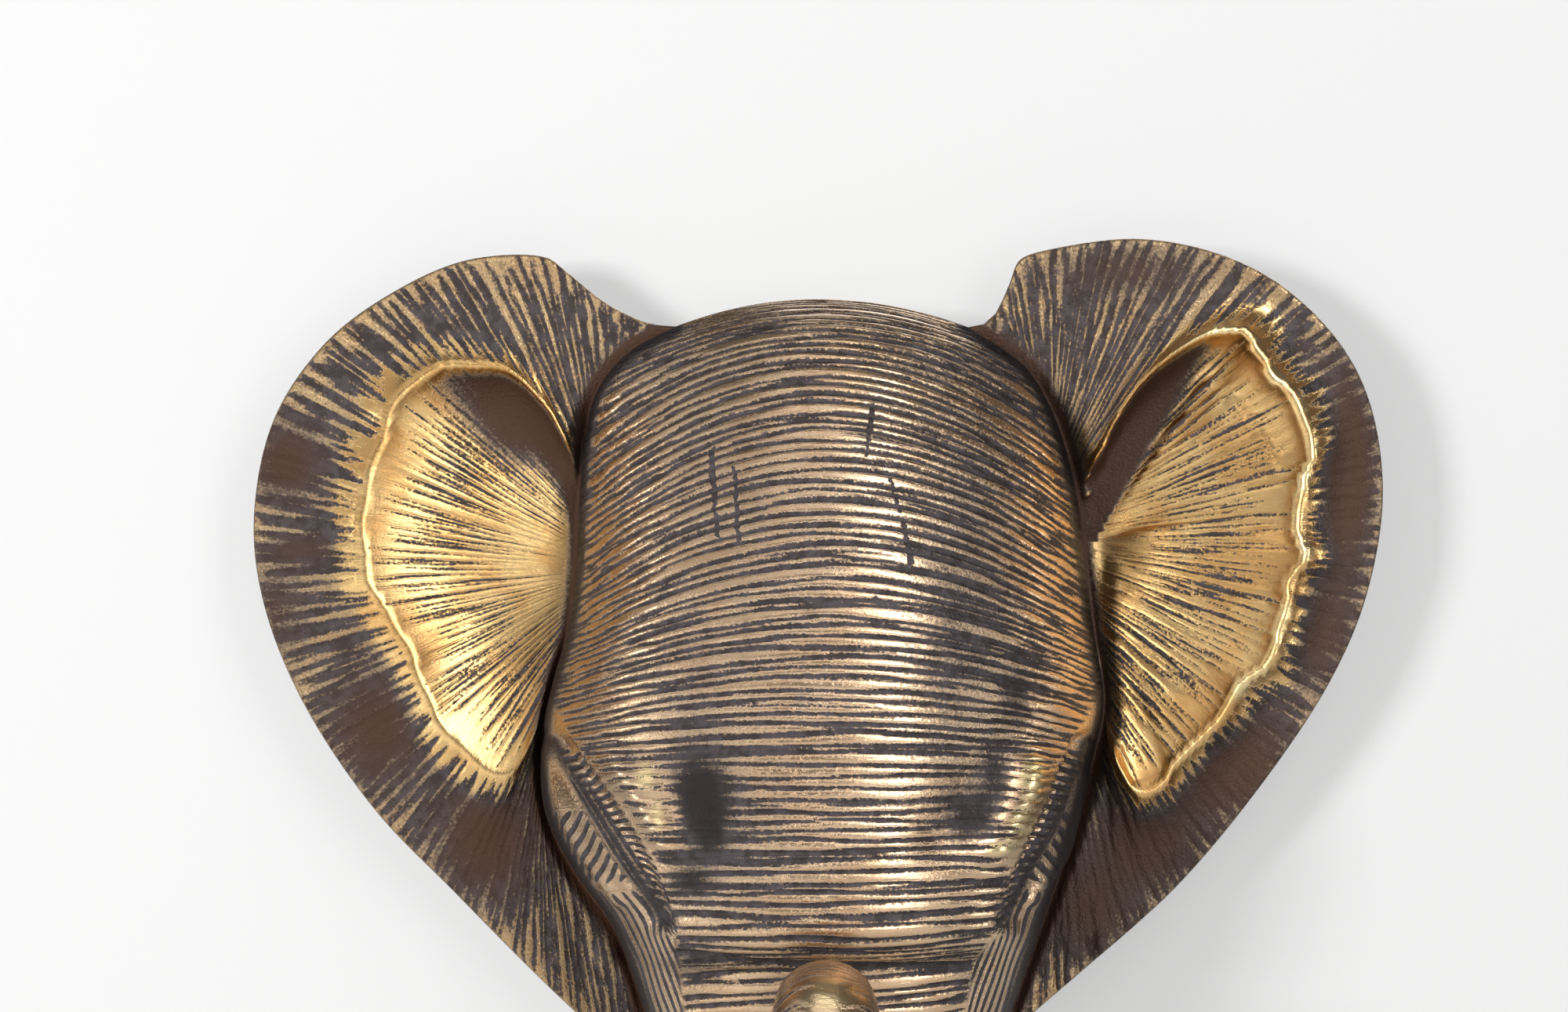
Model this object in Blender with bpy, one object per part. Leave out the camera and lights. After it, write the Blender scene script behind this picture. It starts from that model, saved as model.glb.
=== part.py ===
"""Elephant head wall sculpture: one hollow brass casting, open at the back, with a cast-in hanging bar.

The wall is behind the head: +Y points into it, +X is to the viewer's right, +Z is up, and the origin is
the middle of the hanging bar's back face. "Rise" is the distance forward from the wall, in millimetres.

The form is laid out in a front view, in view units of 0.2 mm at the ears' level. spot() turns a place
in the view and its rise into metres, with the spread of a view taken 1.5 m from the wall.
"""

import math

import bmesh
import bpy
import numpy as np

# Driving dimensions, in millimetres
VIEW_UNIT = 0.2
VIEW_DISTANCE = 1500.0
EAR_LEVEL = 20.0
VIEW_CENTRE = (1000, 645)
ORIGIN_SPOT = (1050, 520)
CASTING_WALL = 4.0
HEAD_SHELL = 5.0
EAR_PLATE = 3.0
EAR_BACK_HIGHEST = 17.0
COLLAR_LEVEL = 14.0
BAR_HALF_HEIGHT = 5.0
BAR_BACK = 2.0
BAR_FRONT = 7.0
SIDE_TURN = 50.0
LAST_TURN = 84.0
FURROW_DEPTH = 1.1
STROKE_DEPTH = 1.0
TRUNK_RING_DEPTH = 0.6
LIP_RISE_AT_HEAD = 19.0
LEFT_LIP_RISE = 23.5
RIGHT_LIP_RISE = 28.0
WALL_POWER = 3.2
BEAD_REACH = 10.0
RIM_RISE = 19.5
FLANGE_DIP = 2.0
LEFT_FLOOR = 13.2
LEFT_FLOOR_CLIMB = 5.0
RIGHT_FLOOR = 13.2
RIGHT_FLOOR_CLIMB = 5.0
LEAF_RISE = 3.4
EYE_BALL = 2.2
LID_DROP = 1.6
BROW_RISE = 3.6
BROW_HOLLOW = 2.2
LOWER_LID_RISE = 1.3

# How finely the form is cut
FURROWS = 41
MIDDLE_COLUMNS = 10
SIDE_COLUMNS = 7
STROKES = 33
EAR_STEPS = 8
EAR_BACK_STEPS = 6
SIDE_STEPS = 24
ARC_STEPS = 12
TRUNK_SIDES = 16
TRUNK_RINGS = 34

# Curves of the front view, in view units
LEFT_VALLEY = [(862, 416), (800, 450), (760, 500), (745, 560), (738, 640), (735, 720), (725, 800), (705, 870),
               (692, 930), (694, 1030), (733, 1112), (782, 1181), (823, 1291), (872, 1423)]
RIGHT_VALLEY = [(1235, 417), (1308, 467), (1337, 512), (1357, 562), (1378, 653), (1382, 699), (1395, 800),
                (1408, 897), (1390, 980), (1368, 1062), (1323, 1196), (1292, 1286), (1277, 1330)]
LEFT_RIM = [(862, 416), (828, 412), (776, 388), (721, 345), (697, 328), (597, 331), (500, 373), (415, 437),
            (350, 533), (324, 655), (334, 760), (382, 887), (476, 1030), (582, 1140), (688, 1247),
            (800, 1353), (872, 1423)]
RIGHT_RIM = [(1235, 417), (1262, 409), (1287, 363), (1297, 336), (1305, 328), (1337, 318), (1448, 304),
             (1548, 321), (1631, 361), (1706, 433), (1747, 512), (1764, 630), (1743, 759), (1698, 866),
             (1613, 995), (1502, 1129), (1377, 1241), (1319, 1291), (1277, 1330)]
LEFT_LIP = [(728, 575), (690, 510), (629, 464), (549, 475), (495, 525), (464, 650), (463, 728), (504, 797),
            (541, 883), (594, 965), (647, 989), (690, 915), (722, 830), (742, 740), (743, 650)]
RIGHT_LIP = [(1388, 602), (1408, 567), (1420, 539), (1439, 510), (1459, 484), (1490, 456), (1529, 433),
             (1561, 424), (1592, 422), (1612, 449), (1624, 478), (1650, 500), (1662, 539), (1677, 580),
             (1664, 612), (1658, 650), (1656, 685), (1661, 711), (1648, 740), (1638, 790), (1612, 847),
             (1580, 879), (1554, 924), (1516, 950), (1496, 976), (1483, 1002), (1452, 1012), (1420, 960),
             (1405, 860), (1390, 740)]
LEFT_FOCUS = (725, 720)
RIGHT_FOCUS = (1397, 690)
# How far down the valley a stroke starts, for the place along the rim where it ends
LEFT_FAN = [(0, 416), (110, 480), (190, 545), (290, 600), (400, 650), (560, 690), (745, 715), (875, 735),
            (1055, 755), (1235, 800), (1330, 890), (1395, 960), (1525, 1060), (1620, 1180), (1715, 1423)]
RIGHT_FAN = [(0, 417), (90, 470), (150, 520), (300, 575), (420, 615), (560, 645), (760, 675), (900, 695),
             (1040, 720), (1200, 780), (1300, 860), (1360, 910), (1480, 980), (1560, 1060), (1640, 1180),
             (1710, 1330)]
# The middle line of the head: place down the view, rise, and where that furrow meets each valley
MIDLINE = [(381, 20, 416, 417), (402, 38, 480, 480), (464, 54, 590, 590), (562, 68, 690, 690),
           (690, 79, 800, 800), (840, 86, 900, 900), (1000, 88, 1005, 1000), (1110, 88, 1110, 1095),
           (1190, 86, 1190, 1170), (1218, 81, 1222, 1195), (1236, 73, 1240, 1210), (1262, 71, 1275, 1235),
           (1300, 69, 1320, 1265), (1385, 64, 1423, 1330)]
MIDDLE_X = [(381, 1043), (700, 1058), (1000, 1050), (1385, 1048)]
SQUARENESS = [(381, 2.0), (700, 2.15), (900, 2.2), (1050, 2.3), (1190, 2.6), (1250, 2.9), (1385, 2.7)]
VALLEY_RISE = [(416, 20), (480, 17.5), (560, 14.5), (650, 12.5), (770, 12.5), (880, 13.5), (1000, 15),
               (1150, 16), (1300, 18), (1423, 20)]
# The roll above the trunk's tip: place, spread and height in millimetres
ROLL = ((1050, 1195), (190, 24), 1.5)
# The furrows end at the lid's line beside each eye; above the eye they run down into the valley
LEFT_LID = [(640, 700), (690, 860), (712, 905), (731, 941), (758, 979), (789, 1024), (821, 1075), (838, 1110),
            (853, 1150), (866, 1190), (872, 1225), (872, 1262), (885, 1330), (905, 1440)]
RIGHT_LID = [(1470, 700), (1415, 850), (1390, 905), (1365, 945), (1343, 989), (1333, 1022), (1307, 1074),
             (1285, 1130), (1263, 1190), (1240, 1225), (1233, 1262), (1222, 1330), (1210, 1440)]
LEFT_EYE = [(702, 935), (716, 964), (734, 993), (756, 1028), (776, 1060), (795, 1091), (816, 1124),
            (839, 1158), (858, 1188)]
RIGHT_EYE = [(1390, 935), (1378, 964), (1364, 993), (1352, 1028), (1338, 1060), (1320, 1091), (1303, 1124),
             (1286, 1158), (1271, 1188)]
LEFT_LOWER_LID = [(697, 930), (705, 985), (715, 1026), (728, 1060), (746, 1090), (770, 1122), (797, 1160)]
RIGHT_LOWER_LID = [(1399, 930), (1392, 985), (1382, 1026), (1370, 1060), (1356, 1090), (1334, 1122),
                   (1313, 1160)]
EYE_HALF_WIDTH = 12
BROW_CREST = 34
BROW_DIP = 92
# The leaf that stands in the right ear's hollow: its edges' angles, and its crease and end from the focus
LEAF_EDGES = (-1.01, -0.24)
LEAF_CREASE = 172
LEAF_END = 246
# The trunk's middle line below the head: rise, height, half width and half depth, in millimetres
TRUNK_PATH = [(40, -172, 38, 26), (39, -190, 31, 23), (45, -211, 24, 20), (64, -227, 19.5, 18),
              (90, -228, 17.5, 16.5), (112, -213, 16, 15.5), (121, -190, 15, 14.5), (122, -166, 14, 14),
              (117, -151, 13.5, 13.5), (105, -146, 12.5, 12.5)]
BOSSES = [((775, 1218), 13, 1.6), ((1408, 1206), 14, 1.8)]


def spot(x, y, rise):
    """Millimetres in the part's frame of a place in the front view."""
    spread = VIEW_UNIT * (VIEW_DISTANCE - rise) / (VIEW_DISTANCE - EAR_LEVEL)
    shift_x = (VIEW_CENTRE[0] - ORIGIN_SPOT[0]) * VIEW_UNIT
    shift_z = (ORIGIN_SPOT[1] - VIEW_CENTRE[1]) * VIEW_UNIT
    return np.stack([shift_x + (x - VIEW_CENTRE[0]) * spread, BAR_BACK - rise + 0 * x,
                     shift_z - (y - VIEW_CENTRE[1]) * spread], axis=-1)


def smooth_curve(points, per_span=16):
    """A curve through the points, rounded by centripetal Catmull-Rom spans."""
    points = np.array(points, dtype=float)
    ends = np.vstack([2 * points[0] - points[1], points, 2 * points[-1] - points[-2]])
    curve = []
    for a, b, c, d in zip(ends[:-3], ends[1:-2], ends[2:-1], ends[3:]):
        knots = [0.0]
        for p, q in ((a, b), (b, c), (c, d)):
            knots.append(knots[-1] + math.sqrt(np.linalg.norm(q - p)))
        t = np.linspace(knots[1], knots[2], per_span, endpoint=False)[:, None]
        a1 = a + (b - a) * (t - knots[0]) / (knots[1] - knots[0])
        a2 = b + (c - b) * (t - knots[1]) / (knots[2] - knots[1])
        a3 = c + (d - c) * (t - knots[2]) / (knots[3] - knots[2])
        b1 = a1 + (a2 - a1) * (t - knots[0]) / (knots[2] - knots[0])
        b2 = a2 + (a3 - a2) * (t - knots[1]) / (knots[3] - knots[1])
        curve.append(b1 + (b2 - b1) * (t - knots[1]) / (knots[2] - knots[1]))
    return np.vstack(curve + [points[-1:]])


def lengths(curve):
    return np.concatenate([[0.0], np.cumsum(np.linalg.norm(np.diff(curve, axis=0), axis=1))])


def along(curve, at):
    """Points of the curve at the given distances from its start."""
    run = lengths(curve)
    return np.stack([np.interp(at, run, column) for column in curve.T], axis=-1)


def read(table, at, column=1):
    """A value of a smooth curve through the table's rows, read at a place in its first column."""
    rows = smooth_curve(table)
    return np.interp(at, rows[:, 0], rows[:, column])


def ease(t):
    t = np.clip(t, 0.0, 1.0)
    return t * t * (3 - 2 * t)


class Side:
    """One ear and its valley."""

    def __init__(self, valley, rim, lip, focus, fan):
        self.valley = smooth_curve(valley)
        self.rim = smooth_curve(rim)
        self.focus = np.array(focus, dtype=float)
        self.lip = self.polar(smooth_curve(lip + lip[:1]))
        self.reach = self.polar(self.rim)
        self.rim_length = lengths(self.rim)[-1]
        fan = np.array(fan, dtype=float)
        self.fan = np.stack([fan[:, 0] / fan[-1, 0] * self.rim_length, fan[:, 1]], axis=-1)
        self.outward = -1.0 if focus[0] < ORIGIN_SPOT[0] else 1.0
        self.lip_rise = LEFT_LIP_RISE if self.outward < 0 else RIGHT_LIP_RISE

    def polar(self, curve):
        """Angle and distance of the curve's points from the focus, in order of the angle."""
        offset = curve - self.focus
        angle = np.arctan2(offset[:, 1], offset[:, 0])
        order = np.argsort(angle)
        return angle[order], np.hypot(offset[:, 0], offset[:, 1])[order]

    def valley_at(self, y):
        """The valley's place at a distance down the view."""
        return np.stack([np.interp(y, self.valley[:, 1], self.valley[:, 0]), y], axis=-1)

    def fan_ends(self, share):
        """Where strokes start on the valley and end on the rim, for shares of the rim's length."""
        at = share * self.rim_length
        y = np.interp(at, self.fan[:, 0], self.fan[:, 1])
        return self.valley_at(y), along(self.rim, at)

    def lip_at(self, angle):
        """The lip's distance from the focus, which wavers a little."""
        waver = 1 + 0.010 * np.sin(11 * angle + 1.3) + 0.007 * np.sin(23 * angle + 0.4)
        return np.interp(angle, *self.lip, period=2 * math.pi) * waver

    def lip_share(self, x, y):
        """Distance from the focus as a share of the distance to the hollow's lip."""
        dx = x - self.focus[0]
        dy = y - self.focus[1]
        return np.hypot(dx, dy) / self.lip_at(np.arctan2(dy, dx))

    def flange_run(self, angle, radius, lip_radius):
        """How far out on the flange a place lies, from the lip at 0 to the rim at 1."""
        reach = np.interp(angle, *self.reach, period=2 * math.pi)
        return np.clip((radius - lip_radius) / np.maximum(reach - lip_radius, 30.0), 0, 1.3)

    def floor(self, toward, radius, share, dy):
        """The hollow's floor, and the lift of the leaf that the right ear has in it."""
        if self.outward < 0:
            return LEFT_FLOOR + LEFT_FLOOR_CLIMB * ease((dy - 120.0) / 150.0), 0.0
        plateau = ease((toward + 0.45) / 0.35)
        floor = RIGHT_FLOOR + RIGHT_FLOOR_CLIMB * plateau * ease(share / 0.3)
        sector = ease((toward - LEAF_EDGES[0]) / 0.06) * ease((LEAF_EDGES[1] - toward) / 0.16)
        climb = np.clip(radius / LEAF_CREASE, 0, 1) ** 1.3
        fall = np.clip((radius - LEAF_CREASE) / (LEAF_END - LEAF_CREASE), 0, 1)
        beyond = ease((LEAF_END + 12 - radius) / 14.0)
        return floor, LEAF_RISE * sector * (climb - 0.6 * fall) * beyond

    def bead(self, toward):
        """How high the rounded lip stands at each bearing from the focus."""
        if self.outward < 0:
            return 0.8 * ease((-toward - 0.5) / 0.3)
        return 1.2 + 0 * toward

    def rise(self, x, y, from_valley):
        """Rise of the ear's smooth surface: a deep hollow, a raised lip and a flange that dips."""
        dx = x - self.focus[0]
        dy = y - self.focus[1]
        angle = np.arctan2(dy, dx)
        radius = np.hypot(dx, dy)
        lip_radius = self.lip_at(angle)
        share = radius / lip_radius
        toward = np.arctan2(dy, dx * self.outward)
        outer = 0.5 + 0.5 * np.cos(toward - 0.15)
        lip_rise = LIP_RISE_AT_HEAD + (self.lip_rise - LIP_RISE_AT_HEAD) * ease(outer * 1.5)
        floor, leaf = self.floor(toward, radius, share, dy)
        steep = ease((-toward - 0.8) / 0.35)
        inside = floor + (lip_rise - floor) * np.clip(share, 0, 1) ** (WALL_POWER + 6.0 * steep) + leaf
        run = self.flange_run(angle, radius, lip_radius)
        dip = FLANGE_DIP * np.sin(np.pi * np.clip(run, 0, 1))
        flange = RIM_RISE + (lip_rise - RIM_RISE) * np.exp(-3.5 * run) - dip
        shape = np.where(share < 1, inside, flange)
        bead = self.bead(toward) * np.exp(-(((radius - lip_radius) / BEAD_REACH) ** 2)) * ease(outer * 2.2)
        foot = read(VALLEY_RISE, y)
        return foot + (shape + bead - foot) * ease(from_valley / 45.0)


LEFT = Side(LEFT_VALLEY, LEFT_RIM, LEFT_LIP, LEFT_FOCUS, LEFT_FAN)
RIGHT = Side(RIGHT_VALLEY, RIGHT_RIM, RIGHT_LIP, RIGHT_FOCUS, RIGHT_FAN)


def normals_of(grid):
    """Unit normals of a grid of points, forward on the front of the part."""
    across = np.gradient(grid, axis=1)
    down = np.gradient(grid, axis=0)
    normal = np.cross(down, across)
    normal /= np.maximum(np.linalg.norm(normal, axis=-1, keepdims=True), 1e-9)
    return normal


def beside(curve, x, y):
    """Signed distance from the curve, positive on its left as it runs down the view, and the share of the
    curve's length at the nearest point."""
    curve = smooth_curve(curve, 6)
    run = lengths(curve)
    best = np.full(np.shape(x), 1e9)
    signed = np.zeros(np.shape(x))
    share = np.zeros(np.shape(x))
    for (ax, ay), (bx, by), start, end in zip(curve[:-1], curve[1:], run[:-1], run[1:]):
        ux, uy = bx - ax, by - ay
        t = np.clip(((x - ax) * ux + (y - ay) * uy) / (ux * ux + uy * uy), 0, 1)
        gap = np.hypot(x - ax - t * ux, y - ay - t * uy)
        cross = (x - ax) * uy - (y - ay) * ux
        nearer = gap < best
        best = np.where(nearer, gap, best)
        signed = np.where(nearer, np.where(cross > 0, gap, -gap), signed)
        share = np.where(nearer, (start + t * (end - start)) / run[-1], share)
    return signed, share


def between(value, low, high, blend):
    """1 inside a range and 0 outside it, with eased edges."""
    return ease((value - low) / blend) * ease((high - value) / blend)


def eye_relief(x, y, eye, lid, lower_lid, outward):
    """Height of one brow, eye and lower lid above the smooth head, and how far the furrows reach.
    Distances are in view units, positive towards the middle of the face."""
    from_lid, _ = beside(lid, x, y)
    from_lid = from_lid * outward
    height = -LID_DROP * ease(-from_lid / 9.0) * ease((from_lid + 46) / 20.0) * between(y, 925, 1195, 25)
    crest = BROW_RISE * np.exp(-(((from_lid - BROW_CREST) / 24.0) ** 2))
    dip = BROW_HOLLOW * np.exp(-(((from_lid - BROW_DIP) / 30.0) ** 2))
    height = height + (crest - dip) * between(y, 930, 1125, 60)
    offset, place = beside(eye, x, y)
    width = EYE_HALF_WIDTH * (0.25 + 0.75 * np.sin(math.pi * np.clip(place, 0.02, 0.98)))
    ball = np.clip(1 - (offset / width) ** 2, 0, 1)
    height = height + EYE_BALL * np.sqrt(ball) * between(place, 0.005, 0.995, 0.05)
    fold, fold_place = beside(lower_lid, x, y)
    height = height + LOWER_LID_RISE * np.exp(-((fold / 8.0) ** 2)) * between(fold_place, 0.0, 1.0, 0.06)
    smooth_band = 8 + 26 * between(y, 955, 1130, 45)
    oval = np.exp(-(((from_lid - BROW_DIP) / 42.0) ** 2) - ((y - 1015) / 46.0) ** 2)
    return height, ease((from_lid + 5) / smooth_band) * (1 - 0.6 * oval)


def face_relief(x, y):
    """Height of the roll, the brows and the eyes above the smooth head, and how far the furrows reach."""
    (cx, cy), (wide, tall), lift = ROLL
    height = lift * np.exp(-(((x - cx) / wide) ** 2) - ((y - cy) / tall) ** 2)
    reach = np.ones(np.shape(x))
    for eye, lid, lower_lid, outward in ((LEFT_EYE, LEFT_LID, LEFT_LOWER_LID, 1.0),
                                         (RIGHT_EYE, RIGHT_LID, RIGHT_LOWER_LID, -1.0)):
        one_height, one_reach = eye_relief(x, y, eye, lid, lower_lid, outward)
        height = height + one_height
        reach = reach * one_reach
    return height, reach


def head_view(turn, down):
    """Place in the front view and rise of the smooth head: turn is the angle round a furrow, from the left
    valley at -90 degrees to the right one at 90, and down is the distance along the middle line."""
    middle = smooth_curve(MIDLINE)
    run = lengths(middle[:, :2] * np.array([VIEW_UNIT, 1.0]))
    mid_y, mid_rise, left_y, right_y = (np.interp(down, run, middle[:, i]) for i in range(4))
    mid_x = np.interp(mid_y, *np.array(MIDDLE_X, dtype=float).T)
    square = np.interp(mid_y, *np.array(SQUARENESS, dtype=float).T)
    sine = np.abs(np.sin(turn))
    cosine = np.abs(np.cos(turn))
    size = (sine**square + cosine**square) ** (-1 / square)
    out = sine * size
    up = cosine * size
    end_y = np.where(turn < 0, left_y, right_y)
    end_x = np.where(turn < 0, LEFT.valley_at(left_y)[..., 0], RIGHT.valley_at(right_y)[..., 0])
    foot = read(VALLEY_RISE, end_y)
    x = mid_x + (end_x - mid_x) * out
    y = mid_y + (end_y - mid_y) * out**2
    return x, y, foot + (mid_rise - foot) * up


def midline_length():
    middle = smooth_curve(MIDLINE)
    return lengths(middle[:, :2] * np.array([VIEW_UNIT, 1.0]))[-1]


class Skin:
    """Collects the points and faces of one closed surface."""

    def __init__(self):
        self.points = []
        self.faces = []

    def add(self, points):
        """Adds points and gives their numbers, in the same layout."""
        points = np.asarray(points, dtype=float)
        start = len(self.points)
        self.points.extend(points.reshape(-1, 3))
        return np.arange(start, len(self.points)).reshape(points.shape[:-1])

    def sheet(self, grid):
        for upper, lower in zip(grid[:-1], grid[1:]):
            for a, b, c, d in zip(upper[:-1], upper[1:], lower[1:], lower[:-1]):
                self.face(a, b, c, d)

    def face(self, *corners):
        kept = [c for i, c in enumerate(corners) if c != corners[i - 1]]
        if len(set(kept)) > 2:
            self.faces.append(kept)

    def zip_up(self, one, other, one_at, other_at):
        """Joins two rows of points of different counts with triangles, by their places along the seam."""
        i = j = 0
        while i < len(one) - 1 or j < len(other) - 1:
            step_one = j == len(other) - 1 or (i < len(one) - 1 and one_at[i + 1] <= other_at[j + 1])
            if step_one:
                self.face(one[i], one[i + 1], other[j])
                i += 1
            else:
                self.face(one[i], other[j + 1], other[j])
                j += 1


def furrow_rows():
    """Places down the middle line of the head's rows: crest and groove in turn."""
    total = midline_length()
    return np.linspace(0.0, total, 2 * FURROWS + 1)


def head_turns():
    """Angles of the head's columns, closer together on its steep sides, where the eyes are."""
    middle = np.linspace(-SIDE_TURN, SIDE_TURN, MIDDLE_COLUMNS + 1)
    side = np.linspace(SIDE_TURN, LAST_TURN, SIDE_COLUMNS + 1)[1:]
    return np.radians(np.concatenate([-side[::-1], middle, side]))


def lip_steps(side, start, end, steps):
    """Shares of each stroke where the ear's rows cross it, with one row on the hollow's lip."""
    probe = np.linspace(0, 1, 81)[:, None]
    share = side.lip_share(start[:, 0] + (end[:, 0] - start[:, 0]) * probe,
                           start[:, 1] + (end[:, 1] - start[:, 1]) * probe)
    inside = share < 1
    last = np.where(inside.any(axis=0), 80 - np.argmax(inside[::-1], axis=0), 40) / 80.0
    last = np.clip(last, 0.35, 0.85)
    reach = len(last) // 8
    spread = np.exp(-0.5 * (np.arange(-reach, reach + 1) * 2.4 / reach) ** 2)
    padded = np.concatenate([np.full(reach, last[0]), last, np.full(reach, last[-1])])
    lip = np.convolve(padded, spread / spread.sum(), mode="valid")
    within = (2 * steps) // 3
    lower = np.linspace(0, 1, within + 1)[:, None] * lip
    upper = lip + np.linspace(0, 1, steps - within + 1)[1:, None] * (1 - lip)
    return np.vstack([lower, upper])


def head_front(skin):
    """The furrowed head, from the top edge to the trunk's root."""
    turns = head_turns()
    down = furrow_rows()
    turn_grid, down_grid = np.meshgrid(turns, down)
    x, y, rise = head_view(turn_grid, down_grid)
    smooth = spot(x, y, rise)
    normal = normals_of(smooth)
    lift, reach = face_relief(x, y)
    groove = np.zeros(len(down))
    groove[1::2] = FURROW_DEPTH
    fade = reach * ease((np.pi / 2 - np.abs(turn_grid)) / 0.25)
    points = smooth + normal * (lift - groove[:, None] * fade)[..., None]
    numbers = skin.add(points)
    skin.sheet(numbers)
    return numbers, y


def ear_front(skin, side, corner_top, corner_low):
    """The ear's carved front, from its valley out to its rim; both ends run together at a corner."""
    columns = 2 * STROKES
    share = np.linspace(0, 1, columns + 1)[1:-1]
    start, end = side.fan_ends(share)
    step = lip_steps(side, start, end, EAR_STEPS)
    x = start[:, 0] + (end[:, 0] - start[:, 0]) * step
    y = start[:, 1] + (end[:, 1] - start[:, 1]) * step
    from_valley = np.hypot(end[:, 0] - start[:, 0], end[:, 1] - start[:, 1]) * step
    rise = side.rise(x, y, from_valley)
    groove = np.zeros(len(share))
    groove[::2] = STROKE_DEPTH
    rise = rise - groove * ease((from_valley - 25) / 90.0) * (1 - 0.75 * ease((step - 0.85) / 0.15))
    for (bx, by), wide, lift in BOSSES:
        rise = rise + lift * np.exp(-(((x - bx) ** 2 + (y - by) ** 2) / wide**2))
    numbers = skin.add(spot(x, y, rise))
    ends_top = np.full((EAR_STEPS + 1, 1), corner_top)
    ends_low = np.full((EAR_STEPS + 1, 1), corner_low)
    numbers = np.hstack([ends_top, numbers, ends_low])
    skin.sheet(numbers)
    valley_y = np.concatenate([[side.valley[0, 1]], y[0], [side.valley[-1, 1]]])
    rim_share = np.concatenate([[0.0], share, [1.0]])
    return numbers[0], valley_y, numbers[-1], rim_share


def ear_back(skin, side, corner_top, corner_low):
    """The ear's plain back, a plate's thickness behind the smooth front."""
    share = np.linspace(0, 1, SIDE_STEPS + 1)[1:-1]
    start, end = side.fan_ends(share)
    step = lip_steps(side, start, end, EAR_BACK_STEPS)
    x = start[:, 0] + (end[:, 0] - start[:, 0]) * step
    y = start[:, 1] + (end[:, 1] - start[:, 1]) * step
    run = np.hypot(end[:, 0] - start[:, 0], end[:, 1] - start[:, 1])
    rise = side.rise(x, y, run * step)
    slope = np.gradient(rise, axis=0) / np.maximum(VIEW_UNIT * run * np.gradient(step, axis=0), 0.5)
    thick = EAR_PLATE * np.minimum(np.sqrt(1 + slope**2), 1.8)
    numbers = skin.add(spot(x, y, np.minimum(rise - thick, EAR_BACK_HIGHEST)))
    ends_top = np.full((EAR_BACK_STEPS + 1, 1), corner_top)
    ends_low = np.full((EAR_BACK_STEPS + 1, 1), corner_low)
    numbers = np.hstack([ends_top, numbers, ends_low])
    skin.sheet(numbers)
    rim_share = np.concatenate([[0.0], share, [1.0]])
    return numbers[0], numbers[-1], rim_share


def lower_to(points, rise):
    """The same points moved straight back to a rise above the wall."""
    moved = np.array(points, dtype=float)
    moved[:, 1] = BAR_BACK - rise
    return moved


def inset_loop(loop, amount):
    """The loop of points moved inward by an amount in the plane of the wall."""
    before = np.roll(loop, 1, axis=0)
    after = np.roll(loop, -1, axis=0)
    run = after - before
    inward = np.stack([-run[:, 2], 0 * run[:, 0], run[:, 0]], axis=-1)
    inward /= np.linalg.norm(inward, axis=1, keepdims=True)
    middle = loop.mean(axis=0)
    inward *= np.sign(np.sum(inward * (middle - loop), axis=1).sum())
    return loop + inward * amount


def ring(path, at, angles):
    """Points round the trunk at a distance along its path."""
    rise, height, wide, deep = (np.interp(at, lengths(path[:, :2]), path[:, i]) for i in range(4))
    ahead = along(path[:, :2], np.array([at + 0.5]))[0] - along(path[:, :2], np.array([at - 0.5]))[0]
    ahead /= np.linalg.norm(ahead)
    front = np.array([-ahead[1], ahead[0]])
    x = wide * np.sin(angles)
    out = deep * np.cos(angles)
    return np.stack([x, BAR_BACK - (rise + out * front[0]), height + out * front[1]], axis=-1)


def trunk(skin, root, root_angles):
    """The trunk from its root ring down, forward and up to its tip, which bends back towards the face."""
    path = smooth_curve(TRUNK_PATH)
    total = lengths(path[:, :2])[-1]
    root_points = np.array([skin.points[i] for i in root])
    first = ring(path, 0.0, root_angles)
    places = np.linspace(0, total, TRUNK_RINGS + 1)
    merge = 5
    rows = [root]
    for at in places[1:merge]:
        share = ease(at / places[merge])
        clean = ring(path, at, root_angles)
        carried = root_points + clean.mean(axis=0) - first.mean(axis=0)
        rows.append(skin.add(carried * (1 - share) + clean * share))
    closed = [np.append(row, row[0]) for row in rows]
    skin.sheet(closed)
    angles = np.linspace(-math.pi / 2, 3 * math.pi / 2, TRUNK_SIDES + 1)[:-1]
    tube = []
    for count, at in enumerate(places[merge:]):
        groove = TRUNK_RING_DEPTH if count % 2 else 0.0
        points = ring(path, at, angles)
        centre = points.mean(axis=0)
        tube.append(centre + (points - centre) * (1 - groove / 14.0))
    end = tube[-1]
    centre = end.mean(axis=0)
    ahead = centre - tube[-2].mean(axis=0)
    ahead /= np.linalg.norm(ahead)
    for bend in (0.35, 0.65, 0.88):
        tube.append(centre + (end - centre) * math.sqrt(1 - bend**2) + ahead * bend * 9.0)
    numbers = [skin.add(points) for points in tube]
    numbers = [np.append(row, row[0]) for row in numbers]
    first_at = np.append(root_angles, root_angles[0] + 2 * math.pi)
    skin.zip_up(closed[-1], numbers[0], first_at, np.append(angles, angles[0] + 2 * math.pi))
    skin.sheet(numbers)
    tip = skin.add([centre + ahead * 9.0])[0]
    for a, b in zip(numbers[-1][:-1], numbers[-1][1:]):
        skin.face(a, b, tip)


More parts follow.
